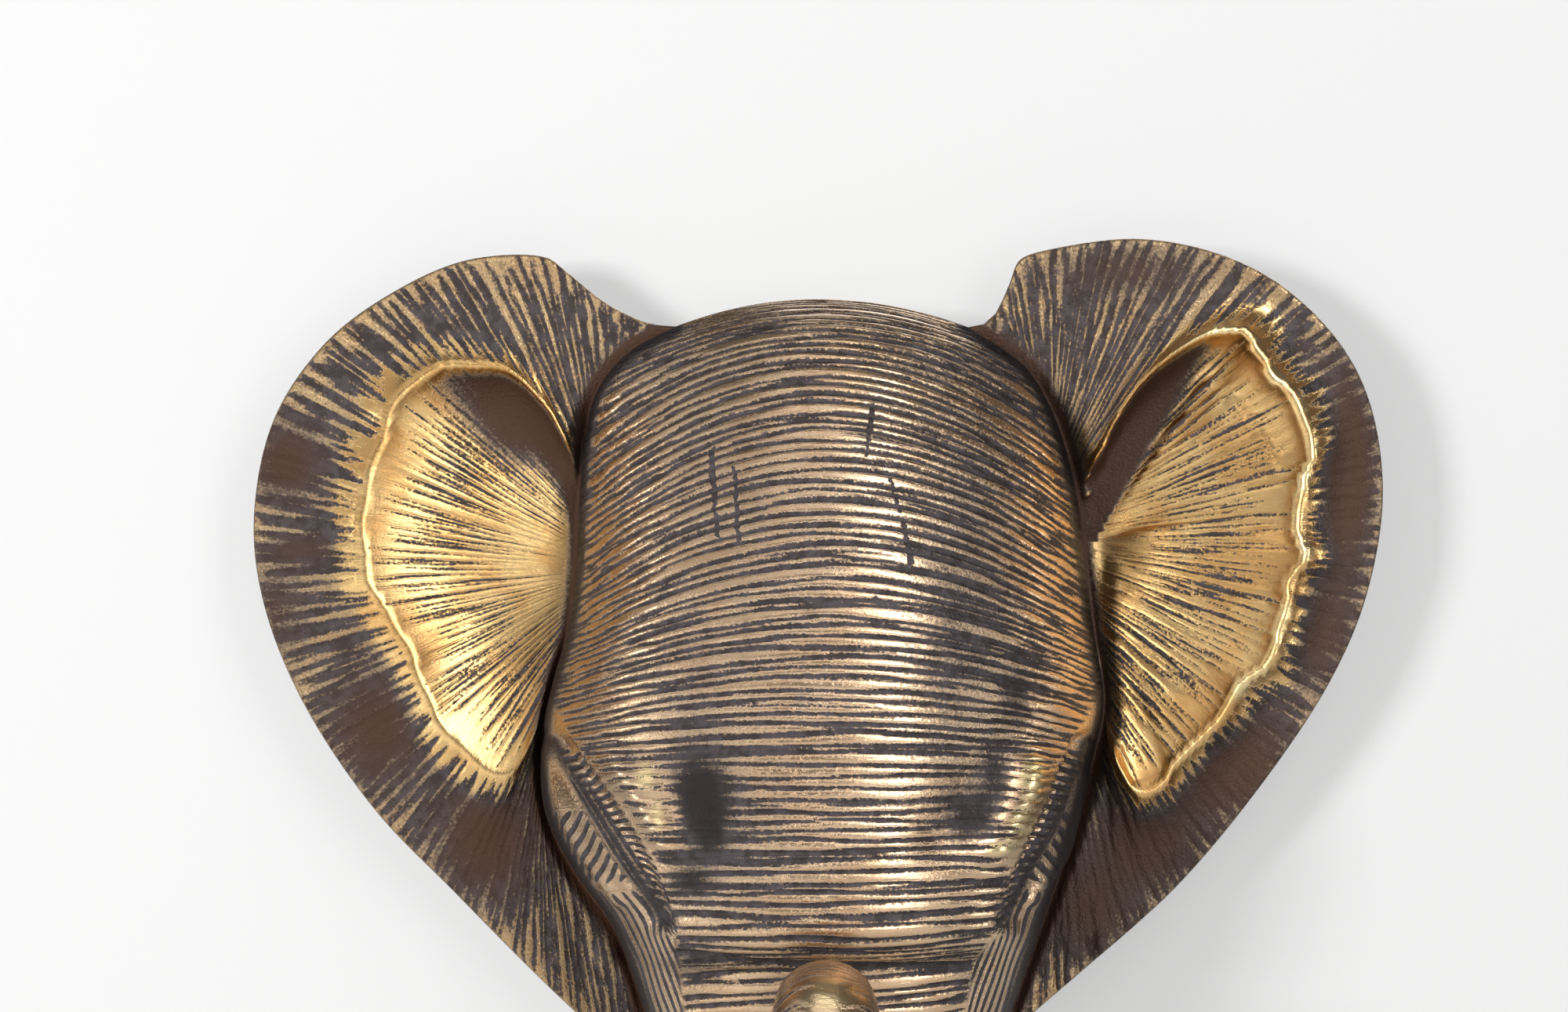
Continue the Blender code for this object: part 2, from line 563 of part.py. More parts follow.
def hollow(skin, mouth):
    """The hollow inside the head: walls that rise from its mouth, and the head's form a shell's thickness in."""
    turns = np.radians(np.linspace(-66, 66, ARC_STEPS + 1))
    total = midline_length()
    down = np.linspace(0.14 * total, 0.8 * total, SIDE_STEPS + 1)
    turn_grid, down_grid = np.meshgrid(turns, down)
    smooth = spot(*head_view(turn_grid, down_grid))
    inner = skin.add(smooth - normals_of(smooth) * HEAD_SHELL)
    skin.sheet(inner)
    loop = np.concatenate([inner[0], inner[1:, -1], inner[-1, -2::-1], inner[-2:0:-1, 0]])
    skin.sheet([np.append(mouth, mouth[0]), np.append(loop, loop[0])])


def hanging_bar(skin, rows, left, right):
    """The bar across the hollow, between the wall faces at these two places of the mouth."""
    back, front = rows
    l0, l1, l2, l3 = back[left], back[left + 1], front[left + 1], front[left]
    r0, r1, r2, r3 = back[right + 1], back[right], front[right], front[right + 1]
    for a, b, c, d in ((l0, l1, r1, r0), (l1, l2, r2, r1), (l2, l3, r3, r2), (l3, l0, r0, r3)):
        skin.face(a, b, c, d)


def collar(skin, top, low, left, right):
    """The collar from the ears' level back to the wall, its flat foot and the hollow within."""
    level = np.concatenate([top, right[1:], low[-2::-1], left[-2:0:-1]])
    foot_points = lower_to([skin.points[i] for i in level], 0.0)
    foot = skin.add(foot_points)
    inset = inset_loop(foot_points, CASTING_WALL)
    side_start = ARC_STEPS
    bar_right, bar_left = bar_places(inset, side_start)
    levels = [skin.add(lower_to(inset, rise)) for rise in (0.0, BAR_BACK, BAR_FRONT, COLLAR_LEVEL)]
    rows = [level, foot] + levels
    rows = [np.append(row, row[0]) for row in rows]
    for upper, lower in zip(rows[:-1], rows[1:]):
        for i in range(len(level)):
            at_bar = upper is rows[3] and i in (bar_right, bar_left)
            if not at_bar:
                skin.face(upper[i], upper[i + 1], lower[i + 1], lower[i])
    hanging_bar(skin, (rows[3], rows[4]), bar_left, bar_right)
    hollow(skin, levels[-1])


def bar_places(loop, side_start):
    """Sets the bar's ends exactly on the mouth's two sides and gives the numbers of their faces."""
    count = len(loop)
    places = []
    for first in (side_start, side_start + SIDE_STEPS + ARC_STEPS):
        heights = [loop[i % count][2] for i in range(first, first + SIDE_STEPS)]
        middle = [abs(heights[i] + heights[i + 1]) for i in range(len(heights) - 1)]
        start = first + int(np.argmin(middle))
        upper, lower = sorted((start, start + 1), key=lambda i: -loop[i % count][2])
        old = loop[[start % count, (start + 1) % count]].copy()
        share = old[0][2] / (old[0][2] - old[1][2])
        crossing = old[0] + (old[1] - old[0]) * share
        lean = (old[0] - old[1]) / (old[0][2] - old[1][2])
        loop[upper % count] = crossing + lean * BAR_HALF_HEIGHT
        loop[lower % count] = crossing - lean * BAR_HALF_HEIGHT
        places.append(start % count)
    return places


def resample(points, count):
    run = lengths(points)
    return along(points, np.linspace(0, run[-1], count + 1))


def casting():
    """The whole sculpture as one closed surface."""
    skin = Skin()
    corners = {}
    for name, side in (("left", LEFT), ("right", RIGHT)):
        for place, row in (("top", 0), ("low", -1)):
            x, y = side.valley[row]
            rise = read(VALLEY_RISE, y)
            front, back = skin.add(spot(np.array([x, x]), np.array([y, y]), np.array([rise, COLLAR_LEVEL])))
            corners[name, place] = (front, back)
    head, head_y = head_front(skin)

    backs = {}
    for name, side, column in (("left", LEFT, 0), ("right", RIGHT, -1)):
        (top_front, top_back), (low_front, low_back) = corners[name, "top"], corners[name, "low"]
        inner, inner_y, rim, rim_at = ear_front(skin, side, top_front, low_front)
        skin.zip_up(head[:, column], inner, head_y[:, column], inner_y)
        back_inner, back_rim, back_at = ear_back(skin, side, top_back, low_back)
        skin.zip_up(rim, back_rim, rim_at, back_at)
        backs[name] = back_inner

    top_line = np.concatenate([[corners["left", "top"][0]], head[0], [corners["right", "top"][0]]])
    top_points = np.array([skin.points[i] for i in top_line])
    edge = resample(lower_to(top_points, COLLAR_LEVEL), ARC_STEPS)
    edge_numbers = skin.add(edge[1:-1])
    top_level = np.concatenate([[corners["left", "top"][1]], edge_numbers, [corners["right", "top"][1]]])
    run = lengths(top_points)
    skin.zip_up(top_line, top_level, run / run[-1], np.linspace(0, 1, ARC_STEPS + 1))

    low_left, low_right = corners["left", "low"], corners["right", "low"]
    ends = np.array([skin.points[low_left[0]], skin.points[low_right[0]]])
    share = np.linspace(0, 1, ARC_STEPS + 1)[1:-1, None]
    throat_points = ends[0] + (ends[1] - ends[0]) * share
    sag = np.sin(np.pi * share[:, 0])
    throat_points[:, 1] += 4.0 * sag
    throat = skin.add(throat_points)
    low_level_points = throat_points.copy()
    low_level_points[:, 1] = BAR_BACK - COLLAR_LEVEL + 6.0 * sag
    low_mid = skin.add(low_level_points)
    low_line = np.concatenate([[low_left[0]], throat, [low_right[0]]])
    low_level = np.concatenate([[low_left[1]], low_mid, [low_right[1]]])
    skin.sheet([low_line, low_level])

    collar(skin, top_level, low_level, backs["left"], backs["right"])

    turns = head_turns()
    quarter = math.pi / 2
    back_turns = np.linspace(quarter, 3 * quarter, ARC_STEPS + 1)[1:-1]
    root = np.concatenate([[low_left[0]], head[-1], [low_right[0]], throat[::-1]])
    trunk(skin, root, np.concatenate([[-quarter], turns, [quarter], back_turns]))
    return skin


def brass():
    material = bpy.data.materials.new("aged_brass")
    material.use_nodes = True
    shader = material.node_tree.nodes["Principled BSDF"]
    shader.inputs["Base Color"].default_value = (0.52, 0.36, 0.16, 1.0)
    shader.inputs["Metallic"].default_value = 1.0
    shader.inputs["Roughness"].default_value = 0.32
    return material


def main():
    for old in list(bpy.data.objects):
        bpy.data.objects.remove(old)
    skin = casting()
    mesh = bpy.data.meshes.new("elephant_head")
    mesh.from_pydata([tuple(p * 0.001) for p in skin.points], [], [[int(i) for i in f] for f in skin.faces])
    build = bmesh.new()
    build.from_mesh(mesh)
    bmesh.ops.triangulate(build, faces=build.faces[:])
    bmesh.ops.recalc_face_normals(build, faces=build.faces[:])
    build.to_mesh(mesh)
    build.free()
    mesh.materials.append(brass())
    head = bpy.data.objects.new("elephant_head", mesh)
    bpy.context.scene.collection.objects.link(head)


main()
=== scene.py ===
"""Looks of the elephant head wall sculpture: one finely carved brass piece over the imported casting.

The piece repeats the casting's form, laid out in a front view whose unit is 0.2 mm at the ears' level,
and adds the furrows, strokes, eyes and pits. "Rise" is the distance forward from the wall, in millimetres.
"""

import math

import bmesh
import bpy
import numpy as np
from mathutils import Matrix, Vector


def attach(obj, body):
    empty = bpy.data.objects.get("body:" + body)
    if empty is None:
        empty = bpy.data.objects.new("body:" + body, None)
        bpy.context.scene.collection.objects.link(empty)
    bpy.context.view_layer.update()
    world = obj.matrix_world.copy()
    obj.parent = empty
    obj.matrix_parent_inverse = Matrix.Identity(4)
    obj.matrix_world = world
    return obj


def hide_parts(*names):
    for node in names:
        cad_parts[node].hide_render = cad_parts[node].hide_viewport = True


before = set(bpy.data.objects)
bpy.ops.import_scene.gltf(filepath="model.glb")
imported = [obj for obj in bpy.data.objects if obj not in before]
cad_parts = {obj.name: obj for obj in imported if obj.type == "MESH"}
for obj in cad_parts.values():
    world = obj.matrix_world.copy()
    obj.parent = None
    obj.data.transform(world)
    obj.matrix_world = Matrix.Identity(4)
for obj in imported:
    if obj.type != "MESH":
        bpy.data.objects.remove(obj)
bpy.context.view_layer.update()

MILLIMETRE = 0.001

# The front view and the casting's dimensions, in millimetres. VIEW_CENTRE, ORIGIN_SPOT, VIEW_WIDTH, BEAD_REACH
# and VALLEY_BLEND are in view units, turns are in degrees, and a run is a share of the middle line
VIEW_UNIT = 0.2
VIEW_DISTANCE = 1500.0
EAR_LEVEL = 20.0
VIEW_CENTRE = (1000, 645)
ORIGIN_SPOT = (1050, 520)
VIEW_WIDTH = 2000
SENSOR_WIDTH = 36
CENTRE_X = (VIEW_CENTRE[0] - ORIGIN_SPOT[0]) * VIEW_UNIT
CENTRE_Z = (ORIGIN_SPOT[1] - VIEW_CENTRE[1]) * VIEW_UNIT
CASTING_WALL = 4.0
HEAD_SHELL = 5.0
EAR_PLATE = 3.0
EAR_BACK_HIGHEST = 17.0
COLLAR_LEVEL = 14.0
BAR_HALF_HEIGHT = 5.0
BAR_BACK = 2.0
BAR_FRONT = 7.0
LAST_TURN = 84.0
LIP_RISE_AT_HEAD = 19.0
LEFT_LIP_RISE = 23.5
RIGHT_LIP_RISE = 28.0
WALL_POWER = 3.2
BEAD_REACH = 10.0
RIM_RISE = 19.5
FLANGE_DIP = 2.0
FLANGE_FALL = 3.5
VALLEY_BLEND = 45.0
HOLLOW_TURN = 66
HOLLOW_RUN = (0.14, 0.8)
THROAT_SAG = 4.0
THROAT_BACK_SAG = 6.0
HOLLOW_FLOOR = 13.2
FLOOR_CLIMB = 5.0
LEAF_RISE = 3.4
EYE_BALL = 2.2
LID_DROP = 1.6
BROW_RISE = 3.6
BROW_HOLLOW = 2.2
LOWER_LID_RISE = 1.3
FOLD_DEPTH = 0.8
RIM_ROUND = 1.2

# How finely the form is cut
HEAD_ROWS = 408
SIDE_TURN = 36.0
MIDDLE_COLUMNS = 28
SIDE_COLUMNS = 40
EAR_COLUMNS = 384
EAR_STEPS = 52
EAR_BACK_STEPS = 8
RIM_STEPS = [0.984, 0.992, 0.997, 1.0]
SIDE_STEPS = 80
ARC_STEPS = 30
TRUNK_SIDES = 36
ROOT_ROWS = 24

# Curves of the front view, in view units
LEFT_VALLEY = [
    (862, 416), (800, 450), (760, 500), (745, 560), (738, 640), (735, 720), (725, 800), (705, 870),
    (692, 930), (694, 1030), (733, 1112), (782, 1181), (823, 1291), (872, 1423)]
RIGHT_VALLEY = [
    (1235, 417), (1308, 467), (1337, 512), (1357, 562), (1378, 653), (1382, 699), (1395, 800), (1408, 897),
    (1390, 980), (1368, 1062), (1323, 1196), (1292, 1286), (1277, 1330)]
LEFT_RIM = [
    (862, 416), (828, 412), (776, 388), (721, 345), (697, 328), (597, 331), (500, 373), (415, 437),
    (350, 533), (324, 655), (334, 760), (382, 887), (476, 1030), (582, 1140), (688, 1247), (800, 1353),
    (872, 1423)]
RIGHT_RIM = [
    (1235, 417), (1262, 409), (1287, 363), (1297, 336), (1305, 328), (1337, 318), (1448, 304), (1548, 321),
    (1631, 361), (1706, 433), (1747, 512), (1764, 630), (1743, 759), (1698, 866), (1613, 995), (1502, 1129),
    (1377, 1241), (1319, 1291), (1277, 1330)]
LEFT_LIP = [
    (728, 575), (690, 510), (629, 464), (549, 475), (495, 525), (464, 650), (463, 728), (504, 797),
    (541, 883), (594, 965), (647, 989), (690, 915), (722, 830), (742, 740), (743, 650)]
RIGHT_LIP = [
    (1388, 602), (1408, 567), (1420, 539), (1439, 510), (1459, 484), (1490, 456), (1529, 433), (1561, 424),
    (1592, 422), (1612, 449), (1624, 478), (1650, 500), (1662, 539), (1677, 580), (1664, 612), (1658, 650),
    (1656, 685), (1661, 711), (1648, 740), (1638, 790), (1612, 847), (1580, 879), (1554, 924), (1516, 950),
    (1496, 976), (1483, 1002), (1452, 1012), (1420, 960), (1405, 860), (1390, 740)]
LEFT_FOCUS = (725, 720)
RIGHT_FOCUS = (1397, 690)
LEFT_FAN = [
    (0, 416), (110, 480), (190, 545), (290, 600), (400, 650), (560, 690), (745, 715), (875, 735),
    (1055, 755), (1235, 800), (1330, 890), (1395, 960), (1525, 1060), (1620, 1180), (1715, 1423)]
RIGHT_FAN = [
    (0, 417), (90, 470), (150, 520), (300, 575), (420, 615), (560, 645), (760, 675), (900, 695),
    (1040, 720), (1200, 780), (1300, 860), (1360, 910), (1480, 980), (1560, 1060), (1640, 1180),
    (1710, 1330)]
MIDLINE = [
    (381, 20, 416, 417), (402, 38, 480, 480), (464, 54, 590, 590), (562, 68, 690, 690), (690, 79, 800, 800),
    (840, 86, 900, 900), (1000, 88, 1005, 1000), (1110, 88, 1110, 1095), (1190, 86, 1190, 1170),
    (1218, 81, 1222, 1195), (1236, 73, 1240, 1210), (1262, 71, 1275, 1235), (1300, 69, 1320, 1265),
    (1385, 64, 1423, 1330)]
MIDDLE_X = [(381, 1043), (700, 1058), (1000, 1050), (1385, 1048)]
SQUARENESS = [(381, 2.0), (700, 2.15), (900, 2.2), (1050, 2.3), (1190, 2.6), (1250, 2.9), (1385, 2.7)]
VALLEY_RISE = [
    (416, 20), (480, 17.5), (560, 14.5), (650, 12.5), (770, 12.5), (880, 13.5), (1000, 15), (1150, 16),
    (1300, 18), (1423, 20)]
ROLL = ((1050, 1195), (190, 24), 1.5)
FOLD = [(865, 1213), (960, 1226), (1060, 1232), (1150, 1233), (1230, 1232)]
FOLD_HALF_WIDTH = 4.5
# The furrows end at the lid's line beside each eye; above the eye they run down into the valley
LEFT_LID = [
    (640, 700), (690, 860), (712, 905), (731, 941), (758, 979), (789, 1024), (821, 1075), (838, 1110),
    (853, 1150), (866, 1190), (872, 1225), (872, 1262), (885, 1330), (905, 1440)]
RIGHT_LID = [
    (1470, 700), (1415, 850), (1390, 905), (1365, 945), (1343, 989), (1333, 1022), (1307, 1074),
    (1285, 1130), (1263, 1190), (1240, 1225), (1233, 1262), (1222, 1330), (1210, 1440)]
LEFT_EYE = [
    (702, 935), (716, 964), (734, 993), (756, 1028), (776, 1060), (795, 1091), (816, 1124), (839, 1158),
    (858, 1188)]
RIGHT_EYE = [
    (1390, 935), (1378, 964), (1364, 993), (1352, 1028), (1338, 1060), (1320, 1091), (1303, 1124),
    (1286, 1158), (1271, 1188)]
LEFT_LOWER_LID = [(697, 930), (705, 985), (715, 1026), (728, 1060), (746, 1090), (770, 1122), (797, 1160)]
RIGHT_LOWER_LID = [
    (1399, 930), (1392, 985), (1382, 1026), (1370, 1060), (1356, 1090), (1334, 1122), (1313, 1160)]
EYE_HALF_WIDTH = 12
BROW_CREST = 34
BROW_DIP = 92
# How far down the view the parts of an eye run
EYE_SPAN = (925, 1195)
EYE_ENDS = (935, 1190)
BROW_SPAN = (930, 1125)
LASH_SPAN = (952, 1195)
SMOOTH_SPAN = (955, 1130)
NOTCH_SPAN = (1030, 1128)
CHEEK_TOP = 1132
BROW_MIDDLE = 1015
# Pitches of the fine cuts round the eyes, in view units
LASH_PITCH = 14.0
CHEEK_PITCH = 8.0
NOTCH_PITCH = 13.0
EYE_LINE_PITCH = 6.0
# The leaf that stands in the right ear's hollow: its edges' angles, and its crease and end from the focus
LEAF_EDGES = (-1.01, -0.24)
LEAF_CREASE = 172
LEAF_END = 246
TRUNK_PATH = [
    (40, -172, 38, 26), (39, -190, 31, 23), (45, -211, 24, 20), (64, -227, 19.5, 18),
    (90, -228, 17.5, 16.5), (112, -213, 16, 15.5), (121, -190, 15, 14.5), (122, -166, 14, 14),
    (117, -151, 13.5, 13.5), (105, -146, 12.5, 12.5)]
BOSSES = [((775, 1218), 13, 1.6), ((1408, 1206), 14, 1.8)]

# Hand carving, in millimetres
FURROW_PITCH = 2.75
FURROW_DEPTH = 0.9
SHORT_FURROWS = 260
STROKE_PITCH = 15.5
STROKE_DEPTH = 0.62
LASH_HEIGHT = 0.8
RIPPLE_HEIGHT = 0.5
RING_PITCH = 2.4
RING_DEPTH = 0.3
RINGS_START = 8.0
TIP_LENGTH = 9.0
TRUNK_FLOW_START = 300
EAR_FLOW = 50
ROOT_RADIUS = 20
TUBE_RADIUS = 15

# How dark the plain parts are, as the depth of a cut
BACK_GROOVE = 0.35
HOLLOW_GROOVE = 0.5
FOOT_GROOVE = 0.3
MOUTH_GROOVE = 0.4

SEED = 11
draw = np.random.default_rng(SEED)


def spot(x, y, rise):
    """Millimetres in the part's frame of a place in the front view."""
    spread = VIEW_UNIT * (VIEW_DISTANCE - rise) / (VIEW_DISTANCE - EAR_LEVEL)
    return np.stack([CENTRE_X + (x - VIEW_CENTRE[0]) * spread, BAR_BACK - rise + 0 * x,
                     CENTRE_Z - (y - VIEW_CENTRE[1]) * spread], axis=-1)


def mixed(t, knots, a, b, i, j):
    return a + (b - a) * (t - knots[i]) / (knots[j] - knots[i])


def smooth_curve(points, per_span=16):
    """A curve through the points, rounded by centripetal Catmull-Rom spans."""
    points = np.array(points, dtype=float)
    ends = np.vstack([2 * points[0] - points[1], points, 2 * points[-1] - points[-2]])
    curve = []
    for a, b, c, d in zip(ends[:-3], ends[1:-2], ends[2:-1], ends[3:]):
        knots = [0.0]
        for p, q in ((a, b), (b, c), (c, d)):
            knots.append(knots[-1] + math.sqrt(np.linalg.norm(q - p)))
        t = np.linspace(knots[1], knots[2], per_span, endpoint=False)[:, None]
        pairs = [(a, b, 0, 1), (b, c, 1, 2), (c, d, 2, 3)]
        a1, a2, a3 = (mixed(t, knots, *pair) for pair in pairs)
        b1, b2 = mixed(t, knots, a1, a2, 0, 2), mixed(t, knots, a2, a3, 1, 3)
        curve.append(mixed(t, knots, b1, b2, 1, 2))
    return np.vstack(curve + [points[-1:]])


def lengths(curve):
    return np.concatenate([[0.0], np.cumsum(np.linalg.norm(np.diff(curve, axis=0), axis=1))])


def along(curve, at):
    """Points of the curve at the given distances from its start."""
    run = lengths(curve)
    return np.stack([np.interp(at, run, column) for column in curve.T], axis=-1)


def read(table, at, column=1):
    """A value of a smooth curve through the table's rows, read at a place in its first column."""
    rows = smooth_curve(table)
    return np.interp(at, rows[:, 0], rows[:, column])


def ease(t):
    t = np.clip(t, 0.0, 1.0)
    return t * t * (3 - 2 * t)


def bell(t):
    """1 at 0, falling to nothing on both sides."""
    return np.exp(-(t**2))


def swell(x, y, place, spread):
    """1 at a place, falling to nothing all round it over its spread across and down."""
    return np.exp(-(((x - place[0]) / spread[0]) ** 2) - ((y - place[1]) / spread[1]) ** 2)


def capped(first, row, last):
    """The row with one value more at each end."""
    return np.concatenate([[first], row, [last]])


def drawn(ranges):
    return [draw.uniform(low, high) for low, high in ranges]


def wander(count, step):
    """A smooth random line from -1 to 1 with a turn about every step places."""
    knots = draw.uniform(-1, 1, int(count / step) + 4)
    at = np.arange(count) / step + draw.uniform(0, 1)
    low = np.floor(at).astype(int)
    return knots[low] + (knots[low + 1] - knots[low]) * ease(at - low)


class Side:
    """One ear and its valley."""

    def __init__(self, valley, rim, lip, focus, fan, lip_rise):
        self.valley = smooth_curve(valley)
        self.rim = smooth_curve(rim)
        self.focus = np.array(focus, dtype=float)
        self.lip = self.polar(smooth_curve(lip + lip[:1]))
        self.reach = self.polar(self.rim)
        self.rim_length = lengths(self.rim)[-1]
        fan = np.array(fan, dtype=float)
        self.fan = np.stack([fan[:, 0] / fan[-1, 0] * self.rim_length, fan[:, 1]], axis=-1)
        self.outward = -1.0 if focus[0] < ORIGIN_SPOT[0] else 1.0
        self.lip_rise = lip_rise

    def polar(self, curve):
        """Angle and distance of the curve's points from the focus, in order of the angle."""
        offset = curve - self.focus
        angle = np.arctan2(offset[:, 1], offset[:, 0])
        order = np.argsort(angle)
        return angle[order], np.hypot(offset[:, 0], offset[:, 1])[order]

    def valley_at(self, y):
        """The valley's place at a distance down the view."""
        return np.stack([np.interp(y, self.valley[:, 1], self.valley[:, 0]), y], axis=-1)

    def fan_ends(self, share):
        """Where strokes start on the valley and end on the rim, for shares of the rim's length."""
        at = share * self.rim_length
        y = np.interp(at, self.fan[:, 0], self.fan[:, 1])
        return self.valley_at(y), along(self.rim, at)

    def bearings(self, x, y):
        """Places seen from the focus: the angle, the angle from straight outward, the distance and the lip's
        distance."""
        dx, dy = x - self.focus[0], y - self.focus[1]
        angle = np.arctan2(dy, dx)
        return angle, np.arctan2(dy, dx * self.outward), np.hypot(dx, dy), self.lip_at(angle)

    def rise(self, x, y, from_valley):
        """Rise of the ear's smooth surface: a deep hollow, a raised lip and a flange that dips."""
        angle, toward, radius, lip_radius = self.bearings(x, y)
        share = radius / lip_radius
        outer = 0.5 + 0.5 * np.cos(toward - 0.15)
        lip_rise = LIP_RISE_AT_HEAD + (self.lip_rise - LIP_RISE_AT_HEAD) * ease(outer * 1.5)
        floor, leaf = self.floor(toward, radius, share, y - self.focus[1])
        steep = ease((-toward - 0.8) / 0.35)
        inside = floor + (lip_rise - floor) * np.clip(share, 0, 1) ** (WALL_POWER + 6.0 * steep) + leaf
        run = self.flange_run(angle, radius, lip_radius)
        dip = FLANGE_DIP * np.sin(np.pi * np.clip(run, 0, 1))
        flange = RIM_RISE + (lip_rise - RIM_RISE) * np.exp(-FLANGE_FALL * run) - dip
        shape = np.where(share < 1, inside, flange)
        bead = self.bead(toward) * bell((radius - lip_radius) / BEAD_REACH) * ease(outer * 2.2)
        foot = read(VALLEY_RISE, y)
        return foot + (shape + bead - foot) * ease(from_valley / VALLEY_BLEND)

    def lip_at(self, angle):
        """The lip's distance from the focus, which wavers a little."""
        waver = 1 + 0.010 * np.sin(11 * angle + 1.3) + 0.007 * np.sin(23 * angle + 0.4)
        return np.interp(angle, *self.lip, period=2 * math.pi) * waver

    def flange_run(self, angle, radius, lip_radius):
        """How far out on the flange a place lies, from the lip at 0 to the rim at 1."""
        reach = np.interp(angle, *self.reach, period=2 * math.pi)
        return np.clip((radius - lip_radius) / np.maximum(reach - lip_radius, 30.0), 0, 1.3)

    def floor(self, toward, radius, share, dy):
        """The hollow's floor, and the lift of the leaf that the right ear has in it."""
        if self.outward < 0:
            return HOLLOW_FLOOR + FLOOR_CLIMB * ease((dy - 120.0) / 150.0), 0.0
        plateau = ease((toward + 0.45) / 0.35)
        floor = HOLLOW_FLOOR + FLOOR_CLIMB * plateau * ease(share / 0.3)
        sector = ease((toward - LEAF_EDGES[0]) / 0.06) * ease((LEAF_EDGES[1] - toward) / 0.16)
        climb = np.clip(radius / LEAF_CREASE, 0, 1) ** 1.3
        fall = np.clip((radius - LEAF_CREASE) / (LEAF_END - LEAF_CREASE), 0, 1)
        beyond = ease((LEAF_END + 12 - radius) / 14.0)
        return floor, LEAF_RISE * sector * (climb - 0.6 * fall) * beyond

    def crescent(self, toward, share):
        """1 in the smooth hollow under the lip's upper end, beside the head, where the overhang's shadow is
        painted dark.
        """
        within = ease((1.0 - share) / 0.08)
        if self.outward < 0:
            return ease((-toward - 0.72) / 0.45) * ease((share - 0.3) / 0.4) * within
        return ease((-toward - 0.93) / 0.2) * within

    def bead(self, toward):
        """How high the rounded lip stands at each bearing from the focus."""
        if self.outward < 0:
            return 0.8 * ease((-toward - 0.5) / 0.3)
        return 1.2 + 0 * toward


LEFT = Side(LEFT_VALLEY, LEFT_RIM, LEFT_LIP, LEFT_FOCUS, LEFT_FAN, LEFT_LIP_RISE)
RIGHT = Side(RIGHT_VALLEY, RIGHT_RIM, RIGHT_LIP, RIGHT_FOCUS, RIGHT_FAN, RIGHT_LIP_RISE)


def normals_of(grid):
    """Unit normals of a grid of points, forward on the front of the part."""
    across = np.gradient(grid, axis=1)
    down = np.gradient(grid, axis=0)
    normal = np.cross(down, across)
    normal /= np.maximum(np.linalg.norm(normal, axis=-1, keepdims=True), 1e-9)
    return normal


def to_run(x, y, start, end):
    """How far places lie from the straight run between two points, and the share of the run beside them."""
    (ax, ay), (bx, by) = start, end
    ux, uy = bx - ax, by - ay
    share = np.clip(((x - ax) * ux + (y - ay) * uy) / (ux * ux + uy * uy), 0, 1)
    return np.hypot(x - ax - share * ux, y - ay - share * uy), share


def beside(curve, x, y):
    """Signed distance from the curve, positive on its left as it runs down the view, and the share of the
    curve's length at the nearest point."""
    curve = smooth_curve(curve, 6)
    run = lengths(curve)
    best = np.full(np.shape(x), 1e9)
    signed = np.zeros(np.shape(x))
    share = np.zeros(np.shape(x))
    for a, b, start, end in zip(curve[:-1], curve[1:], run[:-1], run[1:]):
        gap, t = to_run(x, y, a, b)
        cross = (x - a[0]) * (b[1] - a[1]) - (y - a[1]) * (b[0] - a[0])
        nearer = gap < best
        best = np.where(nearer, gap, best)
        signed = np.where(nearer, np.where(cross > 0, gap, -gap), signed)
        share = np.where(nearer, (start + t * (end - start)) / run[-1], share)
    return signed, share


def middle_line():
    """The head's middle line, and how far along it each of its points lies, in millimetres."""
    middle = smooth_curve(MIDLINE)
    return middle, lengths(middle[:, :2] * np.array([VIEW_UNIT, 1.0]))


def head_view(turn, down):
    """Place in the front view and rise of the smooth head: turn is the angle round a furrow, from the left
    valley at -90 degrees to the right one at 90, and down is the distance along the middle line."""
    middle, run = middle_line()
    mid_y, mid_rise, left_y, right_y = (np.interp(down, run, middle[:, i]) for i in range(4))
    mid_x = np.interp(mid_y, *np.array(MIDDLE_X, dtype=float).T)
    square = np.interp(mid_y, *np.array(SQUARENESS, dtype=float).T)
    sine = np.abs(np.sin(turn))
    cosine = np.abs(np.cos(turn))
    size = (sine**square + cosine**square) ** (-1 / square)
    out = sine * size
    up = cosine * size
    end_y = np.where(turn < 0, left_y, right_y)
    end_x = np.where(turn < 0, LEFT.valley_at(left_y)[..., 0], RIGHT.valley_at(right_y)[..., 0])
    foot = read(VALLEY_RISE, end_y)
    x = mid_x + (end_x - mid_x) * out
    y = mid_y + (end_y - mid_y) * out**2
    return x, y, foot + (mid_rise - foot) * up


